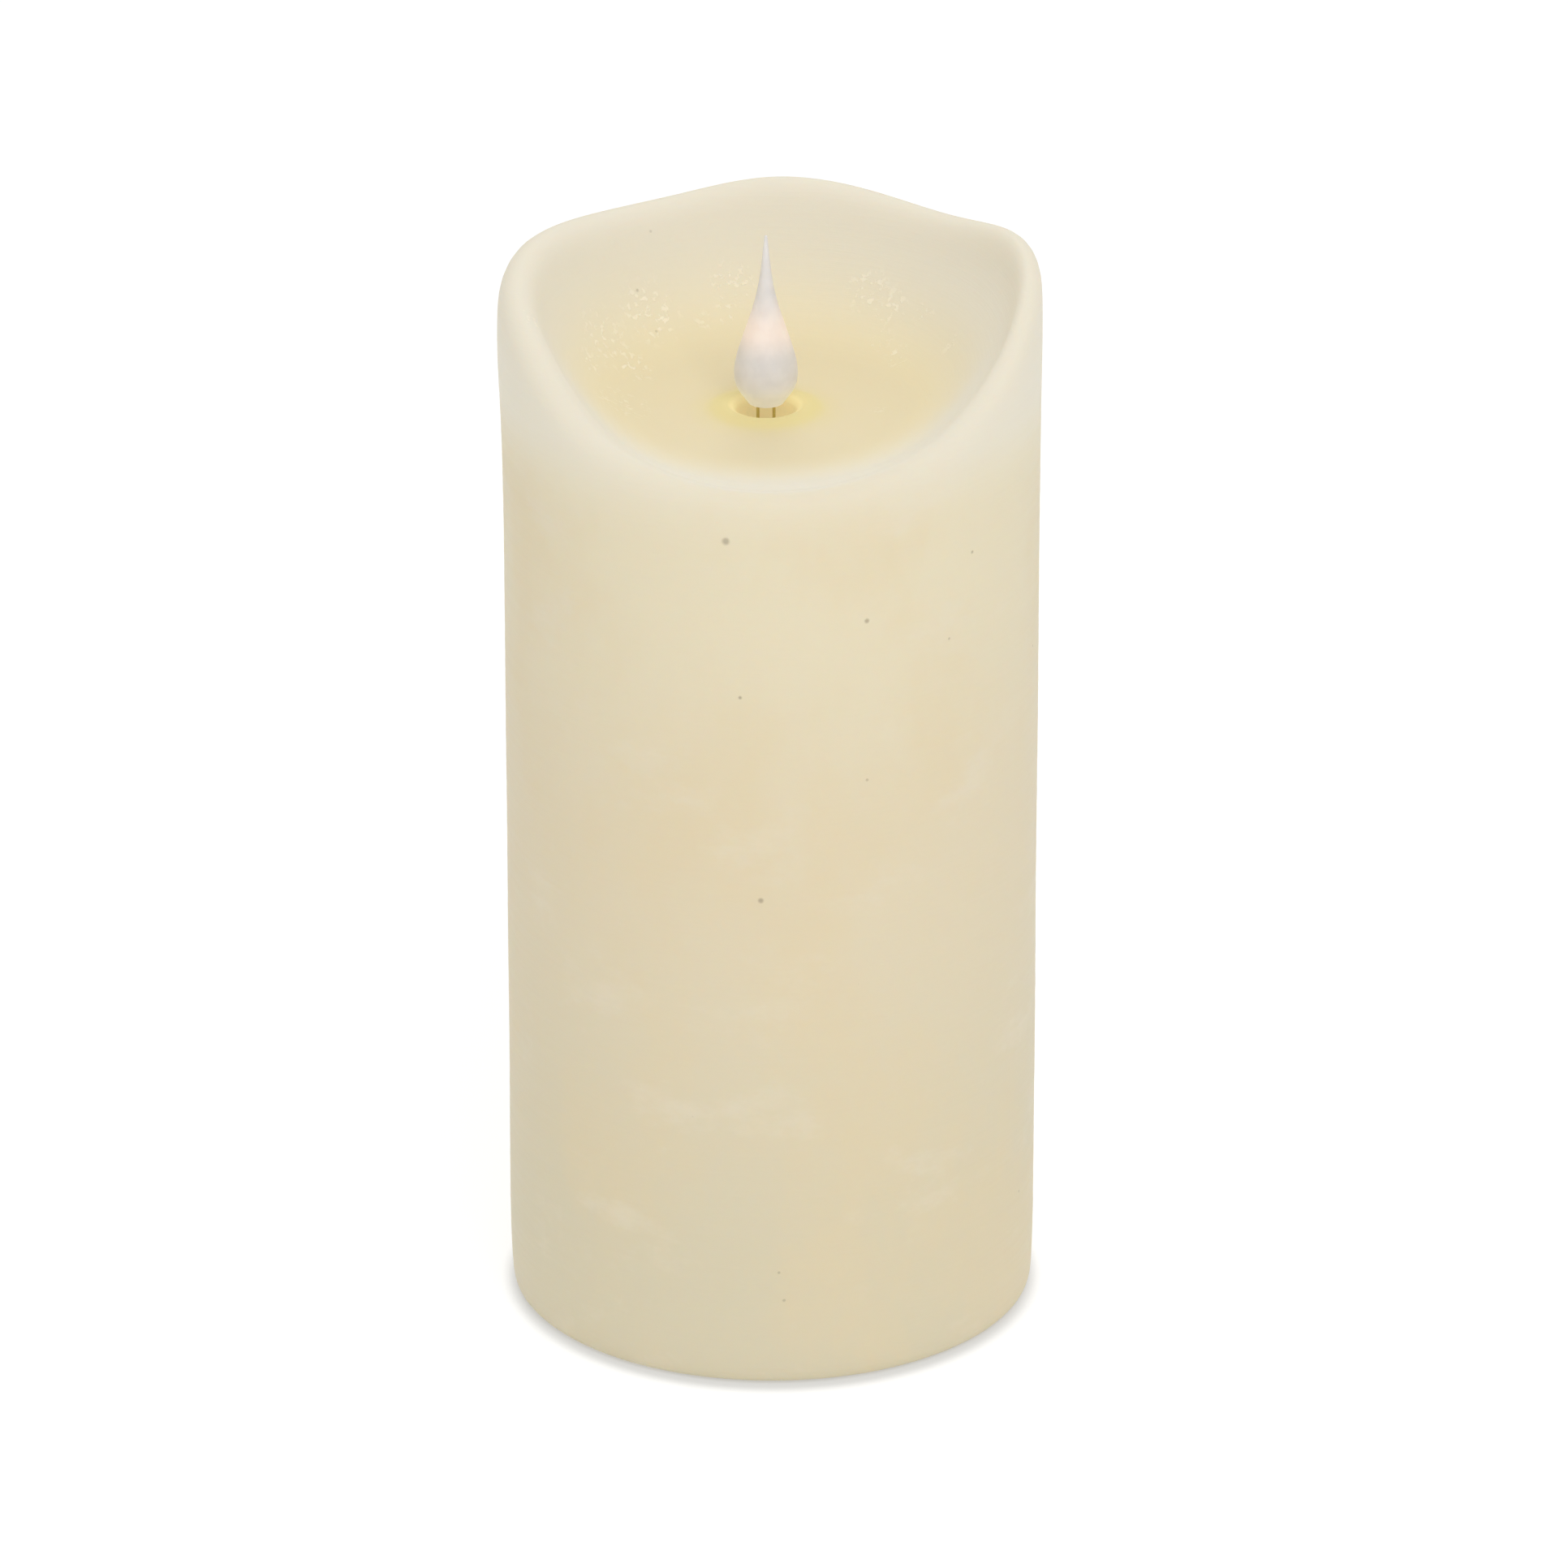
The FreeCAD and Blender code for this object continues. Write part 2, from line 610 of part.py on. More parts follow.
def switch_insulator():
    """The brown board that closes the case, with a hole for each terminal."""
    half_x = switch_half_x - switch_metal - 0.1
    half_y = switch_half_y - switch_metal - 0.1
    block = box(-half_x, half_x, switch_y - half_y, switch_y + half_y, insulator_bottom, insulator_top)
    for x in terminal_places():
        block = block.cut(box(x - 0.45, x + 0.45, switch_y - 0.25, switch_y + 0.25,
                              insulator_bottom, insulator_top))
    return block


def switch_terminals():
    terminals = []
    for x in terminal_places():
        head = box(x - 0.7, x + 0.7, switch_y - 1.0, switch_y + 1.0,
                   insulator_bottom - 0.2, insulator_bottom)
        pin = box(x - 0.4, x + 0.4, switch_y - 0.2, switch_y + 0.2, insulator_bottom, terminal_top)
        terminals.append(head.fuse(pin))
    return terminals


def switch_slider():
    """The lever and its block, at the ON end of the travel."""
    block = box(-block_half_x, block_half_x, switch_y - block_half_y, switch_y + block_half_y,
                switch_floor + switch_metal + 0.05, block_top)
    lever = box(-lever_half, lever_half, switch_y - lever_half, switch_y + lever_half,
                lever_bottom, switch_floor + 1)
    lever = round_upright_edges(lever, 0.35)
    slider = block.fuse(lever)
    for place in (-0.6, 0.0, 0.6):
        slider = slider.cut(box(place - 0.1, place + 0.1, switch_y - 2, switch_y + 2,
                                lever_bottom, lever_bottom + 0.2))
    return moved(slider.removeSplitter(), -switch_travel / 2)


def switch_wiper():
    """The bridge on the block that joins two terminals, with a raised spring finger at each end."""
    wiper = box(-2.2, 2.2, switch_y - 1.0, switch_y + 1.0, block_top, block_top + 0.2)
    for x in (-1.6, 1.6):
        finger = box(x - 0.4, x + 0.4, switch_y - 1.0, switch_y + 1.0, block_top + 0.1, block_top + 0.45)
        wiper = wiper.fuse(finger)
    return moved(wiper.removeSplitter(), -switch_travel / 2)


# ---- circuit board ----
def circuit_board():
    board = box(-board_half_x, board_half_x, -board_half_y, board_half_y, board_bottom, board_top)
    board = round_upright_edges(board, 1.0)
    for x, y in board_posts():
        board = board.cut(cyl(1.0, board_bottom, board_top, x, y))
    return board


def timer_chip():
    """An eight-legged timer chip."""
    x, y = 3.0, 3.5
    chip = box(x - 2.45, x + 2.45, y - 1.95, y + 1.95, board_top + 0.1, board_top + 1.5)
    for i in range(4):
        leg_x = x - 1.905 + 1.27 * i
        for side in (1, -1):
            inner, outer = y + side * 1.8, y + side * 3.0
            shoulder = y + side * 2.4
            chip = chip.fuse(box(leg_x - 0.2, leg_x + 0.2, min(inner, shoulder), max(inner, shoulder),
                                 board_top + 0.6, board_top + 0.8))
            down = y + side * 2.2
            chip = chip.fuse(box(leg_x - 0.2, leg_x + 0.2, min(down, shoulder), max(down, shoulder),
                                 board_top, board_top + 0.8))
            chip = chip.fuse(box(leg_x - 0.2, leg_x + 0.2, min(down, outer), max(down, outer),
                                 board_top, board_top + 0.2))
    return chip.cut(cyl(0.35, board_top + 1.3, board_top + 1.5, x - 1.8, y - 1.2)).removeSplitter()


def quartz_crystal():
    """A small can on its side, with its two leads bent down to the board."""
    x, y, z = -8.0, 7.5, board_top + 1.25
    can = cyl_x(1.2, x, x + 6.0, y, z)
    can = can.makeFillet(0.25, [e for e in can.Edges if e.isClosed()])
    for side in (1, -1):
        lead_y = y + side * 0.5
        points = [vec(x + 0.5, lead_y, z), vec(x - 1.6, lead_y, z), vec(x - 1.6, lead_y, board_top)]
        can = can.fuse(wire_along(points, 0.2, 0.6))
    return can


def chip_resistors():
    return [box(x - 1.0, x + 1.0, y - 0.6, y + 0.6, board_top, board_top + 0.5)
            for x, y in ((-3.5, -2.5), (-3.5, -5.0), (3.0, -3.0))]


def electrolytic_capacitor():
    x, y = -12.5, 3.5
    can = cyl(2.5, board_top, board_top + 7.0, x, y)
    can = can.makeFillet(0.4, [e for e in can.Edges if e.isClosed()])
    top = board_top + 7.0
    for a, b in ((1.6, 0.1), (0.1, 1.6)):
        can = can.cut(box(x - a, x + a, y - b, y + b, top - 0.2, top))
    return can


# ---- wires ----
def contact_wire(side):
    """From a contact's solder tab up and over to the board."""
    tab_x = box_x1 - contact_t / 2
    y = side * cell_y
    board_x = 14.0 if side < 0 else 11.0
    board_y = y if side < 0 else 5.0
    points = [vec(tab_x, y, tab_top), vec(tab_x, y, wire_height), vec(board_x, board_y, wire_height),
              vec(board_x, board_y, board_top)]
    return wire_along(points, wire_r, 2.4)


def led_wire(side):
    """From a lead's joint down the stem and across to the board."""
    x = flame_x + side * lead_pitch / 2
    board_x, board_y = side * 8.0, side * 7.5
    points = [vec(x, 0, lead_bottom), vec(x, 0, 32.0), vec(board_x, board_y, 30.0),
              vec(board_x, board_y, board_top)]
    return wire_along(points, wire_r, 2.0)


def switch_wires():
    """Four wires side by side from the terminals to the board's front edge."""
    board_y = 2.0 - board_half_y
    wires = []
    for x in terminal_places():
        points = [vec(x, switch_y, terminal_top), vec(x, switch_y, wire_height),
                  vec(x, board_y, wire_height), vec(x, board_y, board_top)]
        wires.append(wire_along(points, 0.5, 3.0))
    return wires


# ---- build ----
os.makedirs("parts", exist_ok=True)
save("wax_pillar", wax_pillar())
save("flame_diffuser", flame_diffuser())
save("led_lens", led_lens())
save("led_leads", *led_leads())
save("lead_sleeves", *lead_sleeves())
save("flame_socket", flame_socket())
save("flame_stem", flame_stem())
save("core_can", core_can())
save("base_housing", base_housing())
save("battery_door", battery_door())
save("rubber_feet", *rubber_feet())
save("base_screws", *base_screws())
save("board_screws", *board_screws())
save("switch_screws", *switch_screws())
save("battery_front", cell(front_nub_x(), -cell_y, True))
save("battery_rear", cell(rear_nub_x(), cell_y, False))
save("positive_contact", contact_plate(front_nub_x(), -cell_y, True))
save("negative_contact", contact_plate(front_nub_x(), cell_y, True))
save("link_contact", link_contact())
save("link_spring", cell_spring(rear_nub_x(), front_nub_x() - cell_length, -cell_y))
save("negative_spring", cell_spring(front_nub_x(), rear_nub_x() + cell_length, cell_y))
save("switch_frame", switch_frame())
save("switch_insulator", switch_insulator())
save("switch_terminals", *switch_terminals())
save("switch_slider", switch_slider())
save("switch_wiper", switch_wiper())
save("circuit_board", circuit_board())
save("timer_chip", timer_chip())
save("quartz_crystal", quartz_crystal())
save("chip_resistors", *chip_resistors())
save("electrolytic_capacitor", electrolytic_capacitor())
save("battery_wire_red", contact_wire(-1))
save("battery_wire_black", contact_wire(1))
save("led_wire_red", led_wire(-1))
save("led_wire_black", led_wire(1))
save("switch_wires", *switch_wires())
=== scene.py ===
import math

import bpy
import numpy as np
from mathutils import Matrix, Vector, noise


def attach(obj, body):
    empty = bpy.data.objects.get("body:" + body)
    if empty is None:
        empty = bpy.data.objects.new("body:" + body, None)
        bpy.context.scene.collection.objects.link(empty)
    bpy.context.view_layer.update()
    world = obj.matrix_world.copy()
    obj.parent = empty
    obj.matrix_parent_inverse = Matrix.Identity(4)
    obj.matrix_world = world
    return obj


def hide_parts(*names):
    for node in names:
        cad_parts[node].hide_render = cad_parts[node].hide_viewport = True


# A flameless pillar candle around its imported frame: a fine wax body and flame replace their plain solids,
# and every other piece gets its own procedural material. Lengths are in metres; MM turns millimetres
# into them.

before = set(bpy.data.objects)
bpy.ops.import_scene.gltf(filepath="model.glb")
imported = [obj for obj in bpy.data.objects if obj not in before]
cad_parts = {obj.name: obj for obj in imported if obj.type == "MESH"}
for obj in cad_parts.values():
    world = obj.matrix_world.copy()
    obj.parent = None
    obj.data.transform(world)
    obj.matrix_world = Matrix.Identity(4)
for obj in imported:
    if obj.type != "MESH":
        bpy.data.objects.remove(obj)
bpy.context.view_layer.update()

MM = 0.001

# ---- the wax's shape, in millimetres: the part's, but for a sharper, lower foot with a slight taper ----
PILLAR_R = 42.7
WAX_BOTTOM = 0.35
BOTTOM_ROUND = 0.9
FOOT_TAPER, TAPER_TOP = 0.45, 9.0
BOWL_FLOOR = 151.6
CAVITY_R = 36.8
HOLLOW_R = 34.8
HOLLOW_TOP = 140.0
HOLLOW_ROUND = 12.0
CORE_TOP = 38.0
FLAME_X = -0.9
FLAME_HOLE_R = 4.8
SHIFT_R0, SHIFT_R1 = 9.0, 21.0
RIM_HEIGHT = np.array((176.0, 176.5, 172.5, 174.5, 176.5, 173.0, 173.5, 175.0,
                       173.0, 170.0, 158.0, 154.0, 152.5, 154.0, 158.0, 168.5))
RIM_FLARE = np.array((0.2, 0.2, 0.1, 0.0, 0.0, 0.0, 0.4, 0.8,
                      0.8, 0.8, 0.4, 0.0, 0.0, 0.0, 0.1, 0.2))
RIM_INSET = np.array((2.1, 2.1, 2.9, 3.0, 3.0, 3.0, 3.2, 2.8,
                      2.8, 2.8, 3.2, 3.6, 3.6, 3.6, 3.2, 2.1))
SIDE_HEIGHTS = (20.0, 60.0, 100.0, 125.0)
LIP_START, LIP_FULL = 22.0, 13.0
BOWL_PROFILE = ((28.5, 0.2), (24.0, 0.07), (18.0, 0.0), (12.0, 0.0))
BOWL_WALL_R = 32.2
MOUTH_PROFILE = ((9.4, 0.1), (7.6, 0.8), (6.0, 1.15), (5.0, 0.4), (4.4, -1.4))

# The flame's outline between its flat base and its rounded tip, as radius and height.
FLAME_OUTLINE = ((3.5, 153.8), (4.6, 155.5), (5.05, 158.0), (4.3, 162.0), (2.85, 166.5), (1.55, 171.0),
                 (0.8, 175.5))
FLAME_BASE, FLAME_BASE_R = 152.8, 2.8
FLAME_BASE_ROUND = 0.1
FLAME_TIP, FLAME_TIP_R = 181.0, 0.25
LED_POCKET = ((2.0, 152.8), (2.0, 153.9), (1.6, 153.9), (1.6, 156.7))

# ---- mesh density ----
WAX_AROUND = 300
WAX_STEP = 0.85
FOOT_STEP, FOOT_LENGTH = 0.25, 2.5
FLAME_AROUND = 72
FLAME_ROWS = 90

# ---- camera, light and floor, in metres ----
CAMERA_PITCH = math.radians(23.8)
CAMERA_DISTANCE = 1.910
CAMERA_TARGET = Vector((0.00196, 0.0, 0.0866))
CAMERA_LENS = 273.0
SENSOR = 36.0
WORLD_LIGHT = 0.52
WORLD_COLOUR = (1.0, 0.995, 0.955, 1.0)
LIGHT_TARGET = Vector((0.0, 0.0, 0.12))
# Each softbox's name, place, size, power and colour.
SOFTBOXES = (("front", (0.18, -0.75, 0.95), 0.6, 3.8, (0.99, 1.0, 1.045)),
             ("top", (0.0, 0.0, 1.1), 0.8, 1.7, (1.0, 1.0, 1.02)),
             ("back", (0.0, 0.9, 0.9), 0.7, 1.5, (1.0, 1.0, 1.0)))
FLOOR_HALF = 6.0
FLOOR_TONE = 0.39
FLOOR_ROUGHNESS = 0.9
FLOOR_GLOW_COLOUR = (0.995, 0.995, 0.985, 1.0)
# The floor glows evenly, and less so from the second radius in to the first, round a place just in front of
# the axis: a contact shadow painted into the glow.
FLOOR_GLOW, FLOOR_SHADE_GLOW = 0.72, 0.40
SHADE_MIDDLE = Vector((0.0, -0.0015, 0.0))
SHADE_R0, SHADE_R1 = 0.0412, 0.0445


def add_camera():
    data = bpy.data.cameras.new("camera")
    data.lens = CAMERA_LENS
    data.sensor_width = SENSOR
    data.clip_end = 50.0
    camera = bpy.data.objects.new("camera", data)
    away = Vector((0.0, -math.cos(CAMERA_PITCH), math.sin(CAMERA_PITCH)))
    camera.location = CAMERA_TARGET + away * CAMERA_DISTANCE
    camera.rotation_euler = (math.pi / 2 - CAMERA_PITCH, 0.0, 0.0)
    bpy.context.scene.collection.objects.link(camera)
    bpy.context.scene.camera = camera


def add_softbox(name, place, size, watts, colour):
    """A square area light that points at the upper part of the candle."""
    data = bpy.data.lights.new(name, "AREA")
    data.shape = "SQUARE"
    data.size = size
    data.energy = watts
    data.color = colour
    light = bpy.data.objects.new(name, data)
    light.location = place
    aim = LIGHT_TARGET - Vector(place)
    light.rotation_euler = aim.to_track_quat("-Z", "Y").to_euler()
    bpy.context.scene.collection.objects.link(light)


def add_lights():
    world = bpy.data.worlds.new("studio")
    bpy.context.scene.world = world
    world.use_nodes = True
    background = world.node_tree.nodes["Background"]
    background.inputs["Color"].default_value = WORLD_COLOUR
    background.inputs["Strength"].default_value = WORLD_LIGHT
    for name, place, size, watts, colour in SOFTBOXES:
        add_softbox(name, place, size, watts, colour)


def add_floor():
    """A pale floor, with a contact shadow painted into its glow where the candle meets it, that can be seen
    through from below.
    """
    corners = [(x * FLOOR_HALF, y * FLOOR_HALF, 0) for x, y in ((-1, -1), (1, -1), (1, 1), (-1, 1))]
    mesh = bpy.data.meshes.new("floor")
    mesh.from_pydata(corners, [], [(0, 1, 2, 3)])
    floor = bpy.data.objects.new("floor", mesh)
    bpy.context.scene.collection.objects.link(floor)
    paint = Shader("floor", (FLOOR_TONE, FLOOR_TONE, FLOOR_TONE), FLOOR_ROUGHNESS)
    # Painted contact shadow: the floor's glow is lower near the candle.
    out = paint.distance_from(SHADE_MIDDLE)
    glow = paint.between(out, SHADE_R0, SHADE_R1, FLOOR_SHADE_GLOW, FLOOR_GLOW)
    paint.set("Emission Color", FLOOR_GLOW_COLOUR)
    paint.set("Emission Strength", glow)
    paint.clear_from_behind()
    mesh.materials.append(paint.material)


# ---- materials ----
def from_srgb(red, green, blue):
    """Linear colour from 0-255 screen values."""
    linear = []
    for value in (red, green, blue):
        v = value / 255.0
        linear.append(v / 12.92 if v <= 0.04045 else ((v + 0.055) / 1.055) ** 2.4)
    return tuple(linear)


class Shader:
    """A Principled material built up node by node. Sockets are passed between its methods."""

    def __init__(self, name, colour, roughness, metallic=0.0):
        self.material = bpy.data.materials.new(name)
        self.material.use_nodes = True
        self.nodes = self.material.node_tree.nodes
        self.links = self.material.node_tree.links
        self.surface = self.nodes["Principled BSDF"]
        self.set("Base Color", (*colour, 1.0))
        self.set("Roughness", roughness)
        self.set("Metallic", metallic)
        self.coords = self.nodes.new("ShaderNodeTexCoord").outputs["Object"]

    def set(self, socket, value):
        """Give one of the surface's inputs a value, or the socket that drives it."""
        self._feed(self.surface.inputs[socket], value)

    def _feed(self, socket, value):
        if isinstance(value, bpy.types.NodeSocket):
            self.links.new(value, socket)
        else:
            socket.default_value = value

    def stretched(self, x=1.0, y=1.0, z=1.0, shift=(0.0, 0.0, 0.0)):
        mapping = self.nodes.new("ShaderNodeMapping")
        mapping.inputs["Scale"].default_value = (x, y, z)
        mapping.inputs["Location"].default_value = shift
        self.links.new(self.coords, mapping.inputs["Vector"])
        return mapping.outputs["Vector"]

    def noise(self, scale, detail=3.0, roughness=0.5, coords=None):
        node = self.nodes.new("ShaderNodeTexNoise")
        node.inputs["Scale"].default_value = scale
        node.inputs["Detail"].default_value = detail
        node.inputs["Roughness"].default_value = roughness
        self.links.new(coords or self.coords, node.inputs["Vector"])
        return node.outputs["Fac"]

    def cells(self, scale, coords=None):
        """A scattered pattern of cells, with the outputs Distance (from a cell's middle) and Color."""
        node = self.nodes.new("ShaderNodeTexVoronoi")
        node.inputs["Scale"].default_value = scale
        self.links.new(coords or self.coords, node.inputs["Vector"])
        return node.outputs

    def speckles(self, scale, size, share):
        """Small round specks, one in some of the cells of a scattered pattern."""
        cells = self.cells(scale)
        near = self.between(cells["Distance"], 0.6 * size, size, 1.0, 0.0)
        pick = self.nodes.new("ShaderNodeSeparateColor")
        self.links.new(cells["Color"], pick.inputs["Color"])
        return self.maths("MULTIPLY", near, self.maths("LESS_THAN", pick.outputs["Red"], share))

    def distance_from(self, place):
        node = self.nodes.new("ShaderNodeVectorMath")
        node.operation = "DISTANCE"
        self.links.new(self.coords, node.inputs[0])
        node.inputs[1].default_value = place
        return node.outputs["Value"]

    def near_point(self, place, inner, outer):
        """1 within the inner distance of a place and 0 beyond the outer one."""
        return self.between(self.distance_from(place), inner, outer, 1.0, 0.0)

    def clear_from_behind(self):
        """Make the back of the surface see-through."""
        geometry = self.nodes.new("ShaderNodeNewGeometry")
        clear = self.nodes.new("ShaderNodeBsdfTransparent")
        choice = self.nodes.new("ShaderNodeMixShader")
        self.links.new(geometry.outputs["Backfacing"], choice.inputs["Fac"])
        self.links.new(self.surface.outputs["BSDF"], choice.inputs[1])
        self.links.new(clear.outputs["BSDF"], choice.inputs[2])
        self.links.new(choice.outputs["Shader"], self.nodes["Material Output"].inputs["Surface"])

    def attribute(self, name):
        node = self.nodes.new("ShaderNodeAttribute")
        node.attribute_name = name
        return node.outputs["Fac"]

    def axis(self, name):
        node = self.nodes.new("ShaderNodeSeparateXYZ")
        self.links.new(self.coords, node.inputs["Vector"])
        return node.outputs[name]

    def maths(self, operation, a, b=0.0, clamp=False):
        node = self.nodes.new("ShaderNodeMath")
        node.operation = operation
        node.use_clamp = clamp
        self._feed(node.inputs[0], a)
        self._feed(node.inputs[1], b)
        return node.outputs[0]

    def between(self, value, low, high, out_low=0.0, out_high=1.0):
        """Map low..high to out_low..out_high, smoothly and clamped."""
        node = self.nodes.new("ShaderNodeMapRange")
        node.interpolation_type = "SMOOTHSTEP"
        self._feed(node.inputs["Value"], value)
        limits = {"From Min": low, "From Max": high, "To Min": out_low, "To Max": out_high}
        for name, number in limits.items():
            node.inputs[name].default_value = number
        return node.outputs["Result"]

    def mix(self, factor, a, b):
        node = self.nodes.new("ShaderNodeMix")
        node.data_type = "RGBA"
        self._feed(node.inputs["Factor"], factor)
        for socket, colour in ((node.inputs[6], a), (node.inputs[7], b)):
            self._feed(socket, (*colour, 1.0) if isinstance(colour, tuple) else colour)
        return node.outputs[2]

    def bump(self, height, distance, strength=1.0, below=None):
        node = self.nodes.new("ShaderNodeBump")
        node.inputs["Strength"].default_value = strength
        node.inputs["Distance"].default_value = distance
        self.links.new(height, node.inputs["Height"])
        if below is not None:
            self.links.new(below, node.inputs["Normal"])
        return node.outputs["Normal"]


# The top and foot colours are painted light and shade: the body made paler at the top and darker at the
# foot, as light from above falls.
WAX_LIT_TOP = from_srgb(234, 223, 194)
WAX_BODY = from_srgb(230, 217, 188)
WAX_SHADED_FOOT = from_srgb(222, 212, 184)
WAX_WARM = from_srgb(231, 214, 178)
WAX_PALE = from_srgb(234, 224, 202)
WAX_MILKY = from_srgb(215, 208, 190)
WAX_BOWL = from_srgb(218, 204, 170)
WAX_RING = from_srgb(219, 204, 144)
WAX_MOUTH = from_srgb(227, 209, 147)
WAX_FROST = from_srgb(240, 231, 212)
WAX_SPECK = from_srgb(150, 138, 116)
# Painted light: a glow on the bowl and lip that lifts their shading, standing in for light that scatters
# through the thin wax, and the lamp's light painted on the mouth.
BOWL_LIGHT = (0.183, 0.168, 0.105)
LIP_LIGHT = (0.165, 0.160, 0.142)
MOUTH_LIGHT = (0.228, 0.225, 0.154)
NO_LIGHT = (0.0, 0.0, 0.0)

# Marks on the wax, in millimetres: small dark spots as place and radius.
SPOTS = (((-7.1, -41.9, 146.3), 0.75), ((14.9, -39.9, 132.0), 0.5), ((-4.9, -42.3, 120.0), 0.35),
         ((-1.7, -42.6, 85.3), 0.55), ((31.5, -28.8, 139.0), 0.35), ((-21.5, 24.7, 162.0), 0.35))


def wax_tone(wax):
    """Ivory with painted light and shade: paler near the top and darker near the foot, as if lit from above;
    and soft patches of warmer and paler tone.
    """
    height = wax.axis("Z")
    low = wax.between(height, 8 * MM, 90 * MM)
    high = wax.between(height, 85 * MM, 140 * MM)
    colour = wax.mix(low, WAX_SHADED_FOOT, WAX_BODY)
    colour = wax.mix(high, colour, WAX_LIT_TOP)
    patches = wax.between(wax.noise(34.0, 4.0, 0.6, wax.stretched(1.0, 1.0, 0.6)), 0.42, 0.66)
    colour = wax.mix(wax.maths("MULTIPLY", patches, 0.5), colour, WAX_WARM)
    moved = wax.stretched(1.0, 1.0, 1.8, (0.4, 0.1, 0.7))
    clouds = wax.between(wax.noise(46.0, 5.0, 0.65, moved), 0.54, 0.74)
    return wax.mix(wax.maths("MULTIPLY", clouds, 0.45), colour, WAX_PALE)


def wax_specks(wax):
    """Scattered tiny specks, and the few larger spots."""
    specks = wax.maths("MULTIPLY", wax.speckles(150.0, 0.045, 0.3), 0.36)
    for place, radius in SPOTS:
        spot = wax.near_point(Vector(place) * MM, 0.3 * radius * MM, 1.15 * radius * MM)
        specks = wax.maths("MAXIMUM", specks, wax.maths("MULTIPLY", spot, 0.55))
    return specks


def wax_material():
    """Ivory wax: level brush lines, a milky lip, and a yellower bowl with frosting; light is painted on the
    lip, the bowl and the mouth.
    """
    wax = Shader("ivory_wax", WAX_BODY, 0.5)
    colour = wax.mix(wax.attribute("bowl"), wax_tone(wax), WAX_BOWL)
    colour = wax.mix(wax.attribute("milky"), colour, WAX_MILKY)
    colour = wax.mix(wax.attribute("ring"), colour, WAX_RING)
    colour = wax.mix(wax.attribute("mouth"), colour, WAX_MOUTH)
    flecks = wax.between(wax.noise(980.0, 2.0, 0.55), 0.54, 0.63)
    frost = wax.maths("MULTIPLY", flecks, wax.attribute("frost"), True)
    colour = wax.mix(wax.maths("MULTIPLY", frost, 0.5), colour, WAX_FROST)
    specks = wax_specks(wax)
    colour = wax.mix(specks, colour, WAX_SPECK)
    wax.set("Base Color", colour)
    brushed = wax.noise(60.0, 4.0, 0.6, wax.stretched(1.0, 1.0, 24.0))
    grain = wax.noise(1100.0, 3.0, 0.6)
    normal = wax.bump(brushed, 0.10 * MM, 0.5)
    normal = wax.bump(grain, 0.03 * MM, 0.5, normal)
    normal = wax.bump(frost, 0.12 * MM, 0.6, normal)
    normal = wax.bump(specks, -0.15 * MM, 0.6, normal)
    wax.set("Normal", normal)
    satin = wax.between(brushed, 0.3, 0.7, 0.46, 0.58)
    wax.set("Roughness", wax.maths("ADD", satin, wax.maths("MULTIPLY", wax.attribute("milky"), 0.12)))
    wax.set("Subsurface Weight", 0.35)
    wax.set("Subsurface Radius", (0.9, 0.6, 0.32))
    wax.set("Subsurface Scale", 6.0 * MM)
    wax.set("Specular IOR Level", 0.22)
    # Painted light: a glow on the lip and bowl that lifts their shading, and the lamp's light on the mouth.
    light = wax.mix(wax.attribute("milky"), BOWL_LIGHT, LIP_LIGHT)
    light = wax.mix(wax.attribute("glow"), NO_LIGHT, light)
    wax.set("Emission Color", wax.mix(wax.attribute("mouth"), light, MOUTH_LIGHT))
    wax.set("Emission Strength", 1.0)
    return wax.material


FLAME_HAZE = (0.036, 0.042, 0.056)
FLAME_FOOT_LIGHT = (0.180, 0.195, 0.180)
FLAME_BAND_LIGHT = (0.25, 0.155, 0.100)
# Heights, in millimetres, between which the flame's foot light fades and its warm band comes and goes.
FLAME_FOOT_FADE = (153.0, 158.0)
FLAME_BAND_RISE = (160.6, 165.6)
FLAME_BAND_FALL = (165.2, 171.8)


def flame_material():
    """Frosted white plastic, lit from inside: a warm band above its widest part and a paler foot."""
    flame = Shader("frosted_flame", from_srgb(224, 219, 215), 0.42)
    height = flame.axis("Z")
    cloud = flame.between(flame.noise(420.0, 3.0), 0.3, 0.7)
    flame.set("Base Color", flame.mix(cloud, from_srgb(222, 217, 213), from_srgb(228, 223, 219)))
    rise = flame.between(height, FLAME_BAND_RISE[0] * MM, FLAME_BAND_RISE[1] * MM)
    fall = flame.between(height, FLAME_BAND_FALL[0] * MM, FLAME_BAND_FALL[1] * MM, 1.0, 0.0)
    band = flame.maths("MULTIPLY", rise, fall)
    foot = flame.between(height, FLAME_FOOT_FADE[0] * MM, FLAME_FOOT_FADE[1] * MM, 1.0, 0.0)
    light = flame.mix(foot, FLAME_HAZE, FLAME_FOOT_LIGHT)
    flame.set("Emission Color", flame.mix(band, light, FLAME_BAND_LIGHT))
    flame.set("Emission Strength", 1.0)
    flame.set("Subsurface Weight", 0.4)
    flame.set("Subsurface Radius", (1.0, 0.85, 0.7))
    flame.set("Subsurface Scale", 3.0 * MM)
    flame.set("Normal", flame.bump(flame.noise(1500.0, 2.0), 0.02 * MM, 0.5))
    return flame.material


def moulded_plastic(name, colour, roughness, grain):
    """Moulded plastic: fine spark texture and a slow change of tone from flow in the mould."""
    plastic = Shader(name, colour, roughness)
    flow = plastic.between(plastic.noise(22.0, 3.0), 0.35, 0.65)
    darker = tuple(0.88 * c for c in colour)
    plastic.set("Base Color", plastic.mix(plastic.maths("MULTIPLY", flow, 0.5), colour, darker))
    texture = plastic.noise(grain, 2.0, 0.6)
    plastic.set("Normal", plastic.bump(texture, 0.03 * MM, 0.6))
    plastic.set("Roughness", plastic.between(texture, 0.3, 0.7, roughness - 0.06, roughness + 0.08))
    return plastic.material


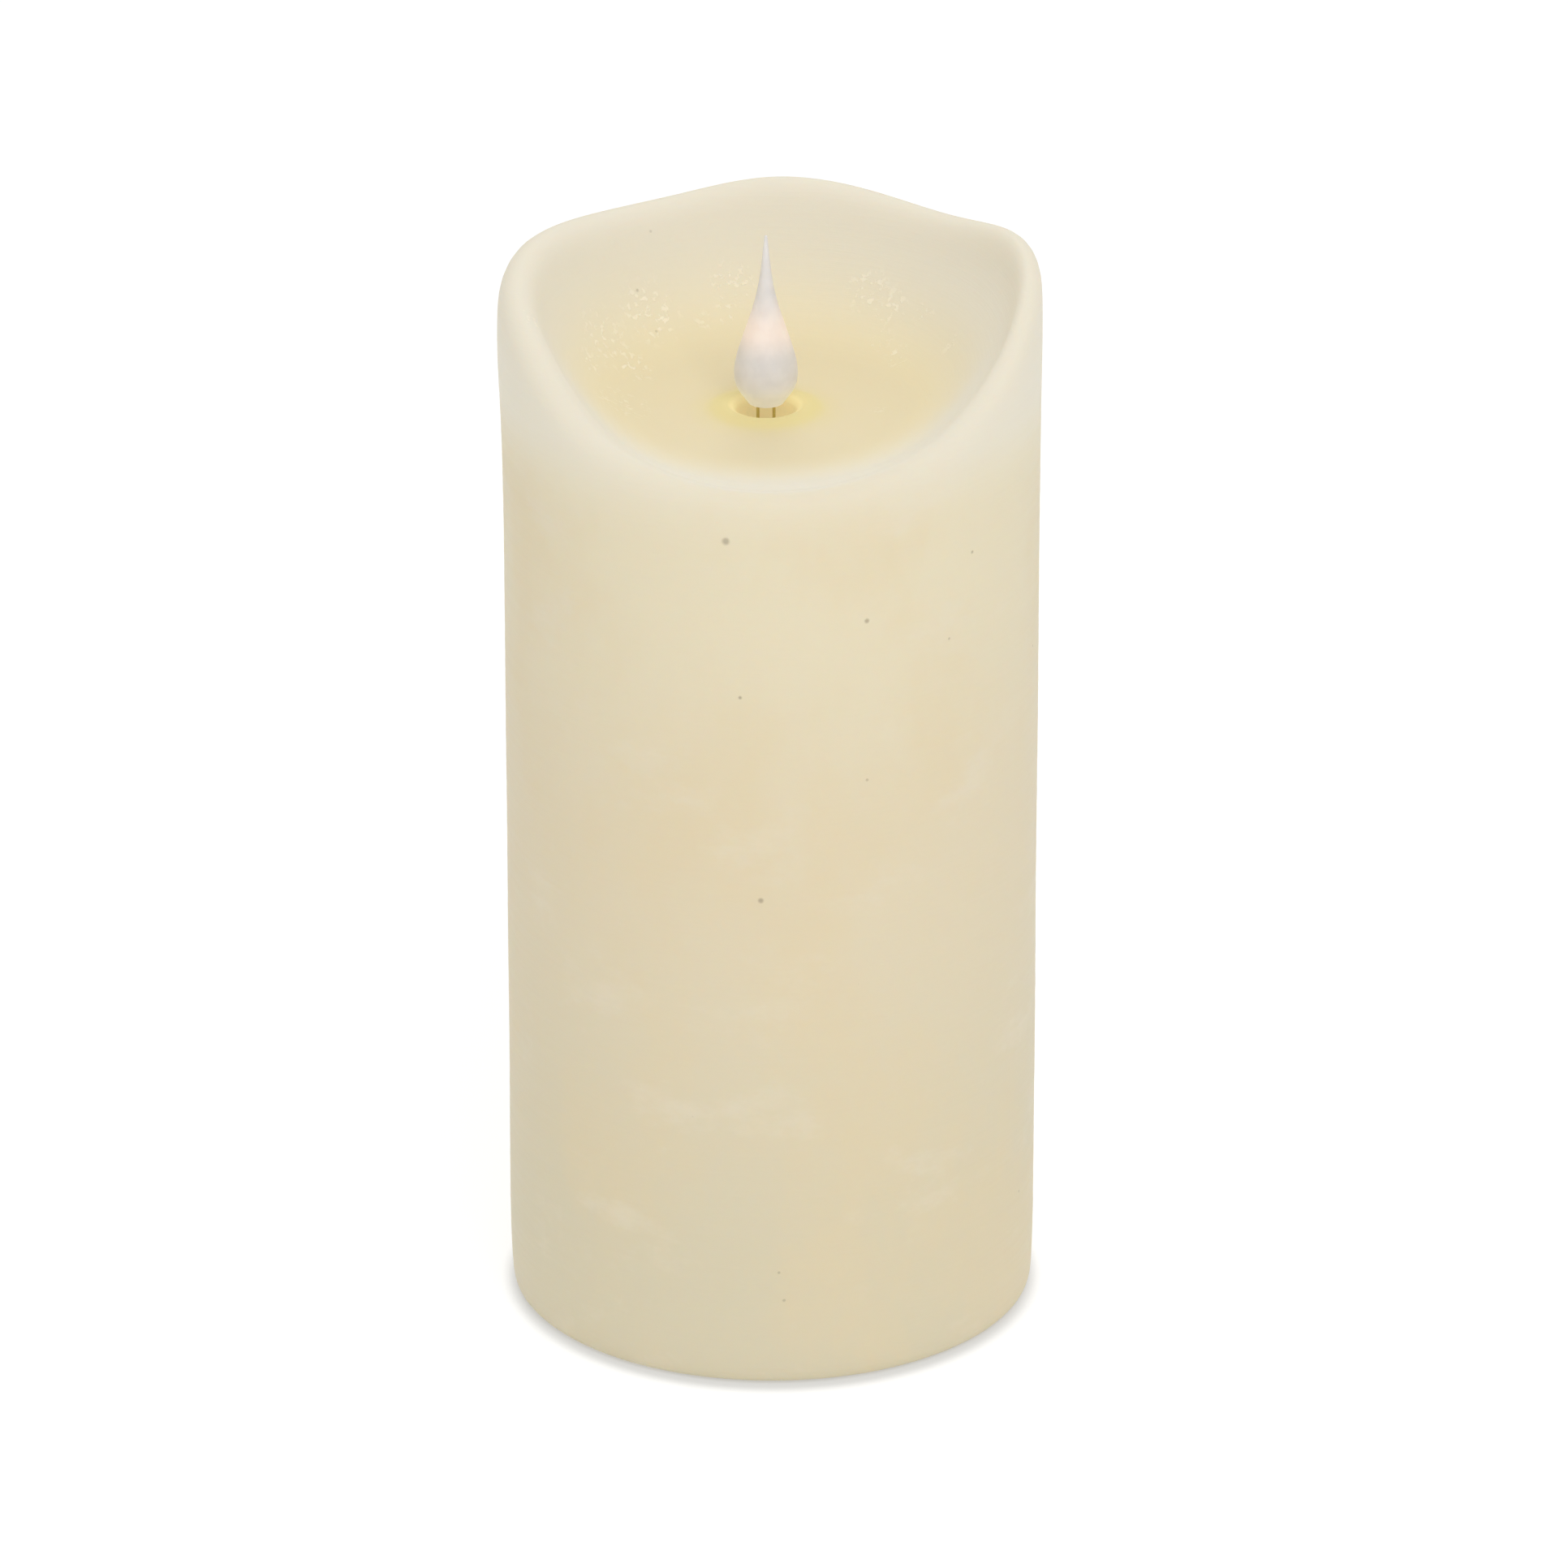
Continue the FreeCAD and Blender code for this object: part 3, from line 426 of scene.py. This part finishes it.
def worn_metal(name, colour, roughness, lines):
    """Plated metal with fine drawn lines and a little dulling."""
    metal = Shader(name, colour, roughness, 1.0)
    drawn = metal.noise(lines, 3.0, 0.6, metal.stretched(1.0, 1.0, 9.0))
    dull = metal.between(metal.noise(180.0, 3.0), 0.4, 0.7)
    darker = tuple(0.72 * c for c in colour)
    metal.set("Base Color", metal.mix(metal.maths("MULTIPLY", dull, 0.4), colour, darker))
    metal.set("Roughness", metal.between(drawn, 0.3, 0.7, roughness - 0.06, roughness + 0.12))
    metal.set("Normal", metal.bump(drawn, 0.01 * MM, 0.5))
    return metal.material


CELL_JACKET = from_srgb(92, 112, 134)
CELL_BAND_PAINT = from_srgb(214, 216, 214)
CELL_STEEL = from_srgb(190, 190, 188)
CELL_SCUFF = from_srgb(150, 150, 140)
CELL_BAND = (14.0, 18.5)
CELL_BAND_EDGE = 0.2
JACKET_END_AT_CAP, JACKET_END_BEHIND = 27.0, 25.0


def cell_material(name, cap_side):
    """A plain grey-blue cell jacket with a pale band near its raised cap, and a bare steel end."""
    cell = Shader(name, CELL_JACKET, 0.3)
    along = cell.maths("MULTIPLY", cell.axis("X"), cap_side)
    jacket_end = JACKET_END_AT_CAP if cap_side > 0 else JACKET_END_BEHIND
    begins, ends = CELL_BAND
    begun = cell.between(along, begins * MM, (begins + CELL_BAND_EDGE) * MM)
    not_ended = cell.between(along, ends * MM, (ends + CELL_BAND_EDGE) * MM, 1.0, 0.0)
    band = cell.maths("MULTIPLY", begun, not_ended)
    steel = cell.between(along, (jacket_end - 0.1) * MM, (jacket_end + 0.1) * MM)
    scuff = cell.between(cell.noise(300.0, 4.0, 0.7), 0.55, 0.75)
    colour = cell.mix(band, CELL_JACKET, CELL_BAND_PAINT)
    colour = cell.mix(steel, colour, CELL_STEEL)
    cell.set("Base Color", cell.mix(cell.maths("MULTIPLY", scuff, 0.25), colour, CELL_SCUFF))
    cell.set("Metallic", steel)
    cell.set("Normal", cell.bump(cell.noise(500.0, 2.0), 0.01 * MM, 0.4))
    return cell.material


def board_material():
    """Green solder mask with paler tracks under it."""
    board = Shader("solder_mask", from_srgb(28, 96, 54), 0.28)
    spots = board.cells(260.0, board.stretched(1.0, 1.6, 1.0))["Distance"]
    tracks = board.between(spots, 0.02, 0.1, 1.0, 0.0)
    weave = board.noise(1400.0, 2.0, 0.5, board.stretched(1.0, 0.15, 1.0))
    board.set("Base Color", board.mix(board.maths("MULTIPLY", tracks, 0.7), from_srgb(24, 84, 48),
                                      from_srgb(60, 132, 80)))
    board.set("Normal", board.bump(weave, 0.02 * MM, 0.4))
    return board.material


def rubber_material(name, colour):
    rubber = Shader(name, colour, 0.62)
    dust = rubber.between(rubber.noise(420.0, 4.0, 0.65), 0.48, 0.72)
    rubber.set("Base Color", rubber.mix(rubber.maths("MULTIPLY", dust, 0.4), colour,
                                        tuple(min(1.0, 1.25 * c + 0.02) for c in colour)))
    rubber.set("Normal", rubber.bump(rubber.noise(1200.0, 2.0), 0.03 * MM, 0.5))
    return rubber.material


def clear_lens_material():
    lens = Shader("warm_epoxy", from_srgb(250, 236, 200), 0.08)
    lens.set("Transmission Weight", 0.7)
    lens.set("IOR", 1.5)
    haze = lens.noise(900.0, 2.0)
    lens.set("Roughness", lens.between(haze, 0.3, 0.7, 0.05, 0.16))
    return lens.material


def paint_cad_nodes():
    """Give every CAD piece that stays visible its own finish."""
    ivory = from_srgb(226, 214, 186)
    base = moulded_plastic("base_plastic", from_srgb(228, 218, 196), 0.48, 1500.0)
    core = moulded_plastic("core_plastic", ivory, 0.5, 1200.0)
    nickel = worn_metal("nickel_plate", from_srgb(205, 202, 194), 0.3, 700.0)
    zinc = worn_metal("zinc_plate", from_srgb(188, 190, 192), 0.34, 900.0)
    brass = worn_metal("brass_sheet", from_srgb(214, 180, 108), 0.32, 800.0)
    chip = moulded_plastic("chip_mould", from_srgb(34, 34, 36), 0.5, 2500.0)
    red = moulded_plastic("wire_red", from_srgb(190, 36, 30), 0.42, 1800.0)
    black = moulded_plastic("wire_black", from_srgb(26, 26, 28), 0.42, 1800.0)
    finishes = {
        "base_housing": base, "battery_door": base, "core_can": core, "flame_stem": core,
        "flame_socket": moulded_plastic("socket_plastic", from_srgb(232, 206, 140), 0.5, 1200.0),
        "rubber_feet": rubber_material("foot_rubber", from_srgb(176, 174, 168)),
        "base_screws": zinc, "board_screws": zinc, "switch_screws": zinc,
        "positive_contact": nickel, "negative_contact": nickel, "link_contact": nickel,
        "link_spring": nickel, "negative_spring": nickel,
        "battery_front": cell_material("cell_front", 1.0), "battery_rear": cell_material("cell_rear", -1.0),
        "switch_frame": worn_metal("tinned_case", from_srgb(196, 196, 192), 0.36, 600.0),
        "switch_insulator": moulded_plastic("phenolic", from_srgb(142, 96, 56), 0.55, 900.0),
        "switch_terminals": brass, "switch_wiper": brass,
        "switch_slider": moulded_plastic("switch_black", from_srgb(28, 28, 30), 0.36, 2200.0),
        "circuit_board": board_material(), "timer_chip": chip, "chip_resistors": chip,
        "quartz_crystal": worn_metal("crystal_can", from_srgb(206, 206, 208), 0.22, 900.0),
        "electrolytic_capacitor": moulded_plastic("capacitor_sleeve", from_srgb(44, 52, 92), 0.34, 1500.0),
        "led_lens": clear_lens_material(),
        "led_leads": worn_metal("gilt_leads", from_srgb(208, 198, 140), 0.42, 900.0),
        "lead_sleeves": rubber_material("shrink_sleeve", from_srgb(30, 30, 32)),
        "battery_wire_red": red, "led_wire_red": red, "battery_wire_black": black, "led_wire_black": black,
        "switch_wires": moulded_plastic("wire_grey", from_srgb(150, 150, 152), 0.42, 1800.0),
    }
    for name, material in finishes.items():
        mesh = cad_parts[name].data
        mesh.materials.clear()
        mesh.materials.append(material)


# ---- the wax mesh ----
def ring_points(radius, height):
    """One ring of the wax's control points, moved towards the flame's axis near the hole."""
    steps = len(RIM_HEIGHT)
    radius = np.broadcast_to(np.asarray(radius, float), steps)
    height = np.broadcast_to(np.asarray(height, float), steps)
    angle = 2 * np.pi * np.arange(steps) / steps
    smoothing = 3 / (2 + math.cos(2 * math.pi / steps))
    shift = FLAME_X * np.clip((SHIFT_R1 - radius) / (SHIFT_R1 - SHIFT_R0), 0, 1)
    reach = smoothing * radius
    return np.stack([reach * np.cos(angle) + shift, reach * np.sin(angle), height], 1)


def rim_points(out, inset, drop, drop_inset):
    return ring_points(PILLAR_R + out * RIM_FLARE - inset * RIM_INSET,
                       RIM_HEIGHT - drop - drop_inset * RIM_INSET)


def bowl_points(radius, share):
    return ring_points(radius, BOWL_FLOOR + share * (RIM_HEIGHT - BOWL_FLOOR))


def skin_control_rings():
    foot_r = PILLAR_R - FOOT_TAPER
    rings = [ring_points(foot_r - BOTTOM_ROUND, WAX_BOTTOM),
             ring_points(foot_r - 0.45 * BOTTOM_ROUND, WAX_BOTTOM),
             ring_points(foot_r, WAX_BOTTOM + 0.55 * BOTTOM_ROUND),
             ring_points(foot_r + 0.4 * FOOT_TAPER, WAX_BOTTOM + 2 * BOTTOM_ROUND),
             ring_points(PILLAR_R, TAPER_TOP)]
    rings += [ring_points(PILLAR_R, z) for z in SIDE_HEIGHTS]
    rings += [rim_points(0.25, 0, LIP_START, 0), rim_points(1, 0, LIP_FULL, 0), rim_points(1, 0, 0, 1.6)]
    rings += [rim_points(1, 0.15, 0, 0.35), rim_points(1, 1, 0, -0.25), rim_points(0, 1.9, 0, 0.3)]
    inner_lip = PILLAR_R - 2.4 * RIM_INSET
    rings += [bowl_points(inner_lip, 0.72), bowl_points(np.minimum(BOWL_WALL_R, inner_lip), 0.42)]
    rings += [bowl_points(r, share) for r, share in BOWL_PROFILE]
    rings += [ring_points(r, BOWL_FLOOR + rise) for r, rise in MOUTH_PROFILE]
    return np.array(rings)


def clamped_weights(poles, parameters):
    """Weight of each pole at each parameter of a cubic spline that starts and ends on its end poles."""
    spans = poles - 3
    knots = np.concatenate([np.zeros(3), np.arange(spans + 1), np.full(3, spans)])
    t = np.clip(parameters, 0, spans - 1e-9)[:, None]
    weights = ((knots[:-1] <= t) & (t < knots[1:])).astype(float)
    for degree in range(1, 4):
        rise = knots[degree:-1] - knots[:-degree - 1]
        fall = knots[degree + 1:] - knots[1:-degree]
        up = np.where(rise > 0, (t - knots[:-degree - 1]) / np.where(rise > 0, rise, 1), 0)
        down = np.where(fall > 0, (knots[degree + 1:] - t) / np.where(fall > 0, fall, 1), 0)
        weights = up * weights[:, :-1] + down * weights[:, 1:]
    return weights


def ring_weights(poles, around):
    """Weight of each pole at equal steps round a closed cubic spline."""
    u = np.arange(around) * poles / around
    first = np.floor(u).astype(int)
    x = u - first
    parts = ((1 - x) ** 3 / 6, (3 * x ** 3 - 6 * x ** 2 + 4) / 6,
             (-3 * x ** 3 + 3 * x ** 2 + 3 * x + 1) / 6, x ** 3 / 6)
    weights = np.zeros((around, poles))
    for offset, part in enumerate(parts):
        weights[np.arange(around), (first - 1 + offset) % poles] += part
    return weights


def skin_grid():
    """Rows over the wax's outer skin from its foot into the flame's hole, WAX_STEP apart above the foot."""
    rings = skin_control_rings()
    round_weights = ring_weights(rings.shape[1], WAX_AROUND)
    spans = len(rings) - 3
    dense = np.linspace(0, spans, 2001)
    outline = np.einsum("vp,pnk->vnk", clamped_weights(len(rings), dense), rings)
    outline = np.einsum("un,vnk->vuk", ring_weights(rings.shape[1], 16), outline)
    offset = outline[:, :, 0] - FLAME_X
    radius = np.hypot(offset, outline[:, :, 1]).mean(1)
    last = np.argmax(radius < FLAME_HOLE_R + 0.15)
    steps = np.linalg.norm(np.diff(outline[:last + 1], axis=0), axis=2).mean(1)
    travelled = np.concatenate([[0], np.cumsum(steps)])
    foot = np.arange(0, FOOT_LENGTH, FOOT_STEP)
    rest = travelled[-1] - FOOT_LENGTH
    wanted = np.concatenate([foot, np.linspace(FOOT_LENGTH, travelled[-1], int(rest / WAX_STEP) + 1)])
    parameters = np.interp(wanted, travelled, dense[:last + 1])
    along = np.einsum("vp,pnk->vnk", clamped_weights(len(rings), parameters), rings)
    return np.einsum("un,vnk->vuk", round_weights, along)


def circle_row(radius, height, centre_x):
    angle = 2 * np.pi * np.arange(WAX_AROUND) / WAX_AROUND
    return np.stack([centre_x + radius * np.cos(angle), radius * np.sin(angle),
                     np.full(WAX_AROUND, height)], 1)


def hollow_rows(hole_top):
    """Rows down the flame's hole, over the hollow's ceiling, down its wall and out to the foot."""
    rows = [circle_row(FLAME_HOLE_R, z, FLAME_X) for z in np.linspace(hole_top, HOLLOW_TOP, 10)]
    flat_r = HOLLOW_R - HOLLOW_ROUND
    for share in np.linspace(0.2, 1.0, 5):
        radius = FLAME_HOLE_R + share * (flat_r - FLAME_HOLE_R)
        rows.append(circle_row(radius, HOLLOW_TOP, FLAME_X * (1 - share)))
    for turn in np.linspace(0, math.pi / 2, 9)[1:]:
        rows.append(circle_row(flat_r + HOLLOW_ROUND * math.sin(turn),
                               HOLLOW_TOP - HOLLOW_ROUND * (1 - math.cos(turn)), 0.0))
    rows += [circle_row(HOLLOW_R, z, 0.0) for z in (105.0, 80.0, 60.0, CORE_TOP)]
    rows += [circle_row(CAVITY_R, z, 0.0) for z in (CORE_TOP, 25.0, 12.0, WAX_BOTTOM)]
    return np.array(rows)


def smooth_step(value, low, high):
    t = np.clip((value - low) / (high - low), 0, 1)
    return t * t * (3 - 2 * t)


def relief(points, scale, stretch_z, seed):
    """Soft noise at each point, about -1 to 1."""
    out = np.empty(len(points))
    for i, (x, y, z) in enumerate(points):
        out[i] = noise.noise(Vector((x * scale + seed, y * scale, z * scale * stretch_z)))
    return out


def grid_normals(grid):
    along = np.gradient(grid, axis=0)
    around = np.roll(grid, -1, axis=1) - np.roll(grid, 1, axis=1)
    normal = np.cross(around, along)
    return normal / np.maximum(np.linalg.norm(normal, axis=2, keepdims=True), 1e-9)


def press_in(grid, crest_row):
    """Hand-made unevenness, pressed into the skin so that it never stands proud of it."""
    shape = grid.shape[:2]
    flat = grid.reshape(-1, 3)
    broad = relief(flat, 0.05, 0.7, 3.0).reshape(shape)
    lumps = relief(flat, 0.16, 1.0, 11.0).reshape(shape)
    level = relief(flat, 0.05, 9.0, 23.0).reshape(shape)
    rows = np.arange(shape[0])[:, None]
    inside = smooth_step(rows, crest_row - 4, crest_row + 12)
    depth = 0.16 * (broad + 1) / 2 + 0.05 * (1 - inside) * (level + 1) / 2 + 0.10 * inside * (lumps + 1) / 2
    settle = smooth_step(rows, 0, 6) * smooth_step(shape[0] - 1 - rows, 0, 5)
    return grid - grid_normals(grid) * (depth * settle)[:, :, None]


# Frosted patches in the bowl, in millimetres: place, reach and strength.
FROST_PATCHES = (((-20.0, 23.8, 158.0), 6.0, 1.0), ((-26.5, 13.5, 158.0), 6.0, 0.8),
                 ((-22.0, 12.0, 154.2), 4.0, 1.0), ((-29.0, 5.5, 157.5), 2.8, 0.9),
                 ((-23.5, -1.5, 153.0), 5.5, 0.7), ((-6.5, 31.2, 160.8), 4.0, 0.8),
                 ((-7.3, 28.0, 157.0), 2.2, 0.8), ((-11.0, 26.2, 156.2), 1.8, 0.6),
                 ((15.5, 28.0, 160.5), 4.0, 0.9), ((19.0, 24.3, 159.5), 3.5, 0.8),
                 ((24.5, 20.0, 160.0), 2.2, 0.9), ((17.4, 20.5, 155.0), 2.2, 0.8),
                 ((20.0, 15.7, 154.1), 2.5, 0.9), ((28.3, 10.0, 158.5), 2.0, 0.6),
                 ((17.0, -0.7, 151.7), 1.2, 1.0), ((-37.5, -8.5, 170.0), 2.5, 0.7))


def frosting(grid):
    total = np.zeros(grid.shape[:2])
    for place, reach, strength in FROST_PATCHES:
        away = np.linalg.norm(grid - np.array(place), axis=2)
        total = np.maximum(total, strength * smooth_step(away, 1.2 * reach, 0.4 * reach))
    return total


# Where the marks on the wax begin and are full, in millimetres: heights outside, and distances from the
# flame's axis inside. At the back the milky band is full only higher up, and in front it reaches further in.
MILKY_BEGINS, MILKY_FULL, MILKY_BACK_RISE = 143.0, 159.0, 15.0
BACK_BEGINS, BACK_FULL = 5.0, 25.0
BOWL_MILKY_BEGINS, BOWL_MILKY_FULL = 24.0, 37.5
FRONT_REACH, FRONT_FULL = 3.0, -20.0
# How strong the painted glow is: on the lip outside, and in the bowl, weaker in its middle and full towards
# its wall, lifting the bowl's shade.
OUTER_GLOW, BOWL_GLOW = 0.93, 0.58
BOWL_GLOW_BEGINS, BOWL_GLOW_FULL = 20.0, 31.0
RING_FULL, RING_NARROW, RING_WIDE = 8.0, 10.2, 14.0
RING_NARROW_SHARE = 0.6
# The mouth: a yellower wax colour with the lamp's light painted on it, both fading out down the hole between
# the two heights below.
MOUTH_BEGINS, MOUTH_FULL = 6.4, 5.2
HOLE_DARK, HOLE_LIT = 140.0, 146.0


def wax_marks(grid, crest_row):
    """Where the wax is milky, yellow or frosted, and where light is painted on it, as one value per point
    and mark.
    """
    outside = np.broadcast_to(np.arange(grid.shape[0])[:, None] <= crest_row, grid.shape[:2])
    height = grid[:, :, 2]
    across = np.hypot(grid[:, :, 0] - FLAME_X, grid[:, :, 1])
    nearer = FRONT_REACH * smooth_step(grid[:, :, 1], 0.0, FRONT_FULL)
    full_height = MILKY_FULL + MILKY_BACK_RISE * smooth_step(grid[:, :, 1], BACK_BEGINS, BACK_FULL)
    milky = np.where(outside, smooth_step(height, MILKY_BEGINS, full_height),
                     smooth_step(across + nearer, BOWL_MILKY_BEGINS, BOWL_MILKY_FULL))
    ring = (RING_NARROW_SHARE * smooth_step(across, RING_NARROW, RING_FULL)
            + (1 - RING_NARROW_SHARE) * smooth_step(across, RING_WIDE, RING_FULL))
    bowl_glow = BOWL_GLOW + (1 - BOWL_GLOW) * smooth_step(across, BOWL_GLOW_BEGINS, BOWL_GLOW_FULL)
    return {"milky": milky,
            "glow": np.where(outside, OUTER_GLOW * milky, bowl_glow),
            "bowl": np.where(outside, 0.0, 1.0),
            "ring": np.where(outside, 0.0, ring),
            "mouth": np.where(outside, 0.0, smooth_step(across, MOUTH_BEGINS, MOUTH_FULL)),
            "frost": np.where(outside, 0.0, frosting(grid))}


def grid_mesh(name, grid, closed_along):
    """A mesh of quads over rows of points that close on themselves around, and along if asked."""
    count, around = grid.shape[:2]
    row = np.arange(count if closed_along else count - 1)
    a = (row[:, None] * around + np.arange(around)[None, :])
    after = ((row + 1) % count)[:, None] * around
    column = np.arange(around)[None, :]
    following = (column + 1) % around
    faces = np.stack([a, row[:, None] * around + following, after + following, after + column], 2)
    mesh = bpy.data.meshes.new(name)
    mesh.from_pydata((grid.reshape(-1, 3) * MM).tolist(), [], faces.reshape(-1, 4).tolist())
    mesh.update()
    return mesh


def add_marks(mesh, marks):
    for name, values in marks.items():
        attribute = mesh.attributes.new(name, "FLOAT", "POINT")
        attribute.data.foreach_set("value", np.asarray(values, np.float32).reshape(-1))


def smooth_object(name, mesh, sharp_degrees):
    for polygon in mesh.polygons:
        polygon.use_smooth = True
    mesh.set_sharp_from_angle(angle=math.radians(sharp_degrees))
    piece = bpy.data.objects.new(name, mesh)
    bpy.context.scene.collection.objects.link(piece)
    return piece


def add_wax():
    skin = skin_grid()
    crest_row = int(np.argmax(skin[:, :, 2].mean(1)))
    marks = wax_marks(skin, crest_row)
    skin = press_in(skin, crest_row)
    hollow = hollow_rows(skin[-1, :, 2].mean() - 0.4)
    grid = np.concatenate([skin, hollow])
    for name in marks:
        inner = np.zeros(hollow.shape[:2])
        # Down the hole the mouth's colour and painted light fade out with depth.
        if name == "mouth":
            inner = smooth_step(hollow[:, :, 2], HOLE_DARK, HOLE_LIT)
        marks[name] = np.concatenate([marks[name], inner])
    mesh = grid_mesh("wax_body", grid, True)
    add_marks(mesh, marks)
    mesh.materials.append(wax_material())
    wax = smooth_object("wax_body", mesh, 50)
    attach(wax, "candle")
    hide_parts("wax_pillar")


# ---- the flame mesh ----
def quarter_turn(radius, height, steps):
    """Rows over a round end, from its side to the small ring at its top."""
    turns = np.linspace(0, math.pi / 2, steps)
    return [(max(radius * math.cos(turn), 0.02), height + radius * math.sin(turn)) for turn in turns]


def flame_rows():
    """The flame's outline from tip to base, then up into the pocket for the LED."""
    tip_side = (FLAME_TIP_R, FLAME_TIP - FLAME_TIP_R)
    through = np.array([(FLAME_BASE_R, FLAME_BASE), *FLAME_OUTLINE, tip_side])
    chord = np.concatenate([[0], np.cumsum(np.linalg.norm(np.diff(through, axis=0), axis=1))])
    wanted = np.linspace(chord[-1], FLAME_BASE_ROUND, FLAME_ROWS)
    outline = [natural_spline(chord, through[:, k], wanted) for k in (0, 1)]
    rows = quarter_turn(FLAME_TIP_R, FLAME_TIP - FLAME_TIP_R, 6)[:0:-1]
    rows += list(zip(*outline))
    edge_r, edge_z = rows[-1]
    for turn in np.linspace(0, math.pi / 2, 6)[1:]:
        rows.append((edge_r - (edge_r - FLAME_BASE_R + FLAME_BASE_ROUND) * (1 - math.cos(turn)),
                     edge_z - (edge_z - FLAME_BASE) * math.sin(turn)))
    rows += list(LED_POCKET)
    return rows + quarter_turn(*LED_POCKET[-1], 7)[1:]


def natural_spline(knots, values, wanted):
    """A smooth curve through the values, with no bend at its ends."""
    count = len(knots)
    gap = np.diff(knots)
    slope = np.diff(values) / gap
    matrix = np.eye(count)
    right = np.zeros(count)
    for i in range(1, count - 1):
        matrix[i, i - 1:i + 2] = (gap[i - 1], 2 * (gap[i - 1] + gap[i]), gap[i])
        right[i] = 6 * (slope[i] - slope[i - 1])
    bend = np.linalg.solve(matrix, right)
    i = np.clip(np.searchsorted(knots, wanted) - 1, 0, count - 2)
    before, after = wanted - knots[i], knots[i + 1] - wanted
    h = gap[i]
    return ((bend[i] * after ** 3 + bend[i + 1] * before ** 3) / (6 * h)
            + (values[i] / h - bend[i] * h / 6) * after
            + (values[i + 1] / h - bend[i + 1] * h / 6) * before)


def add_flame():
    angle = 2 * np.pi * np.arange(FLAME_AROUND) / FLAME_AROUND
    grid = np.array([np.stack([FLAME_X + r * np.cos(angle), r * np.sin(angle), np.full(FLAME_AROUND, z)], 1)
                     for r, z in flame_rows()])
    mesh = grid_mesh("flame_body", grid, False)
    close_ends(mesh, grid)
    mesh.materials.append(flame_material())
    flame = smooth_object("flame_body", mesh, 50)
    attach(flame, "candle")
    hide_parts("flame_diffuser")


def close_ends(mesh, grid):
    """Close the two small rings at the flame's tip and the pocket's top with a face each."""
    count, around = grid.shape[:2]
    vertices = [tuple(v.co) for v in mesh.vertices]
    faces = [tuple(p.vertices) for p in mesh.polygons]
    faces.append(tuple(reversed(range(around))))
    faces.append(tuple(range((count - 1) * around, count * around)))
    mesh.clear_geometry()
    mesh.from_pydata(vertices, [], faces)
    mesh.update()


# ---- build ----
add_camera()
add_lights()
add_floor()
paint_cad_nodes()
add_wax()
add_flame()
bpy.context.scene.view_settings.view_transform = "Standard"
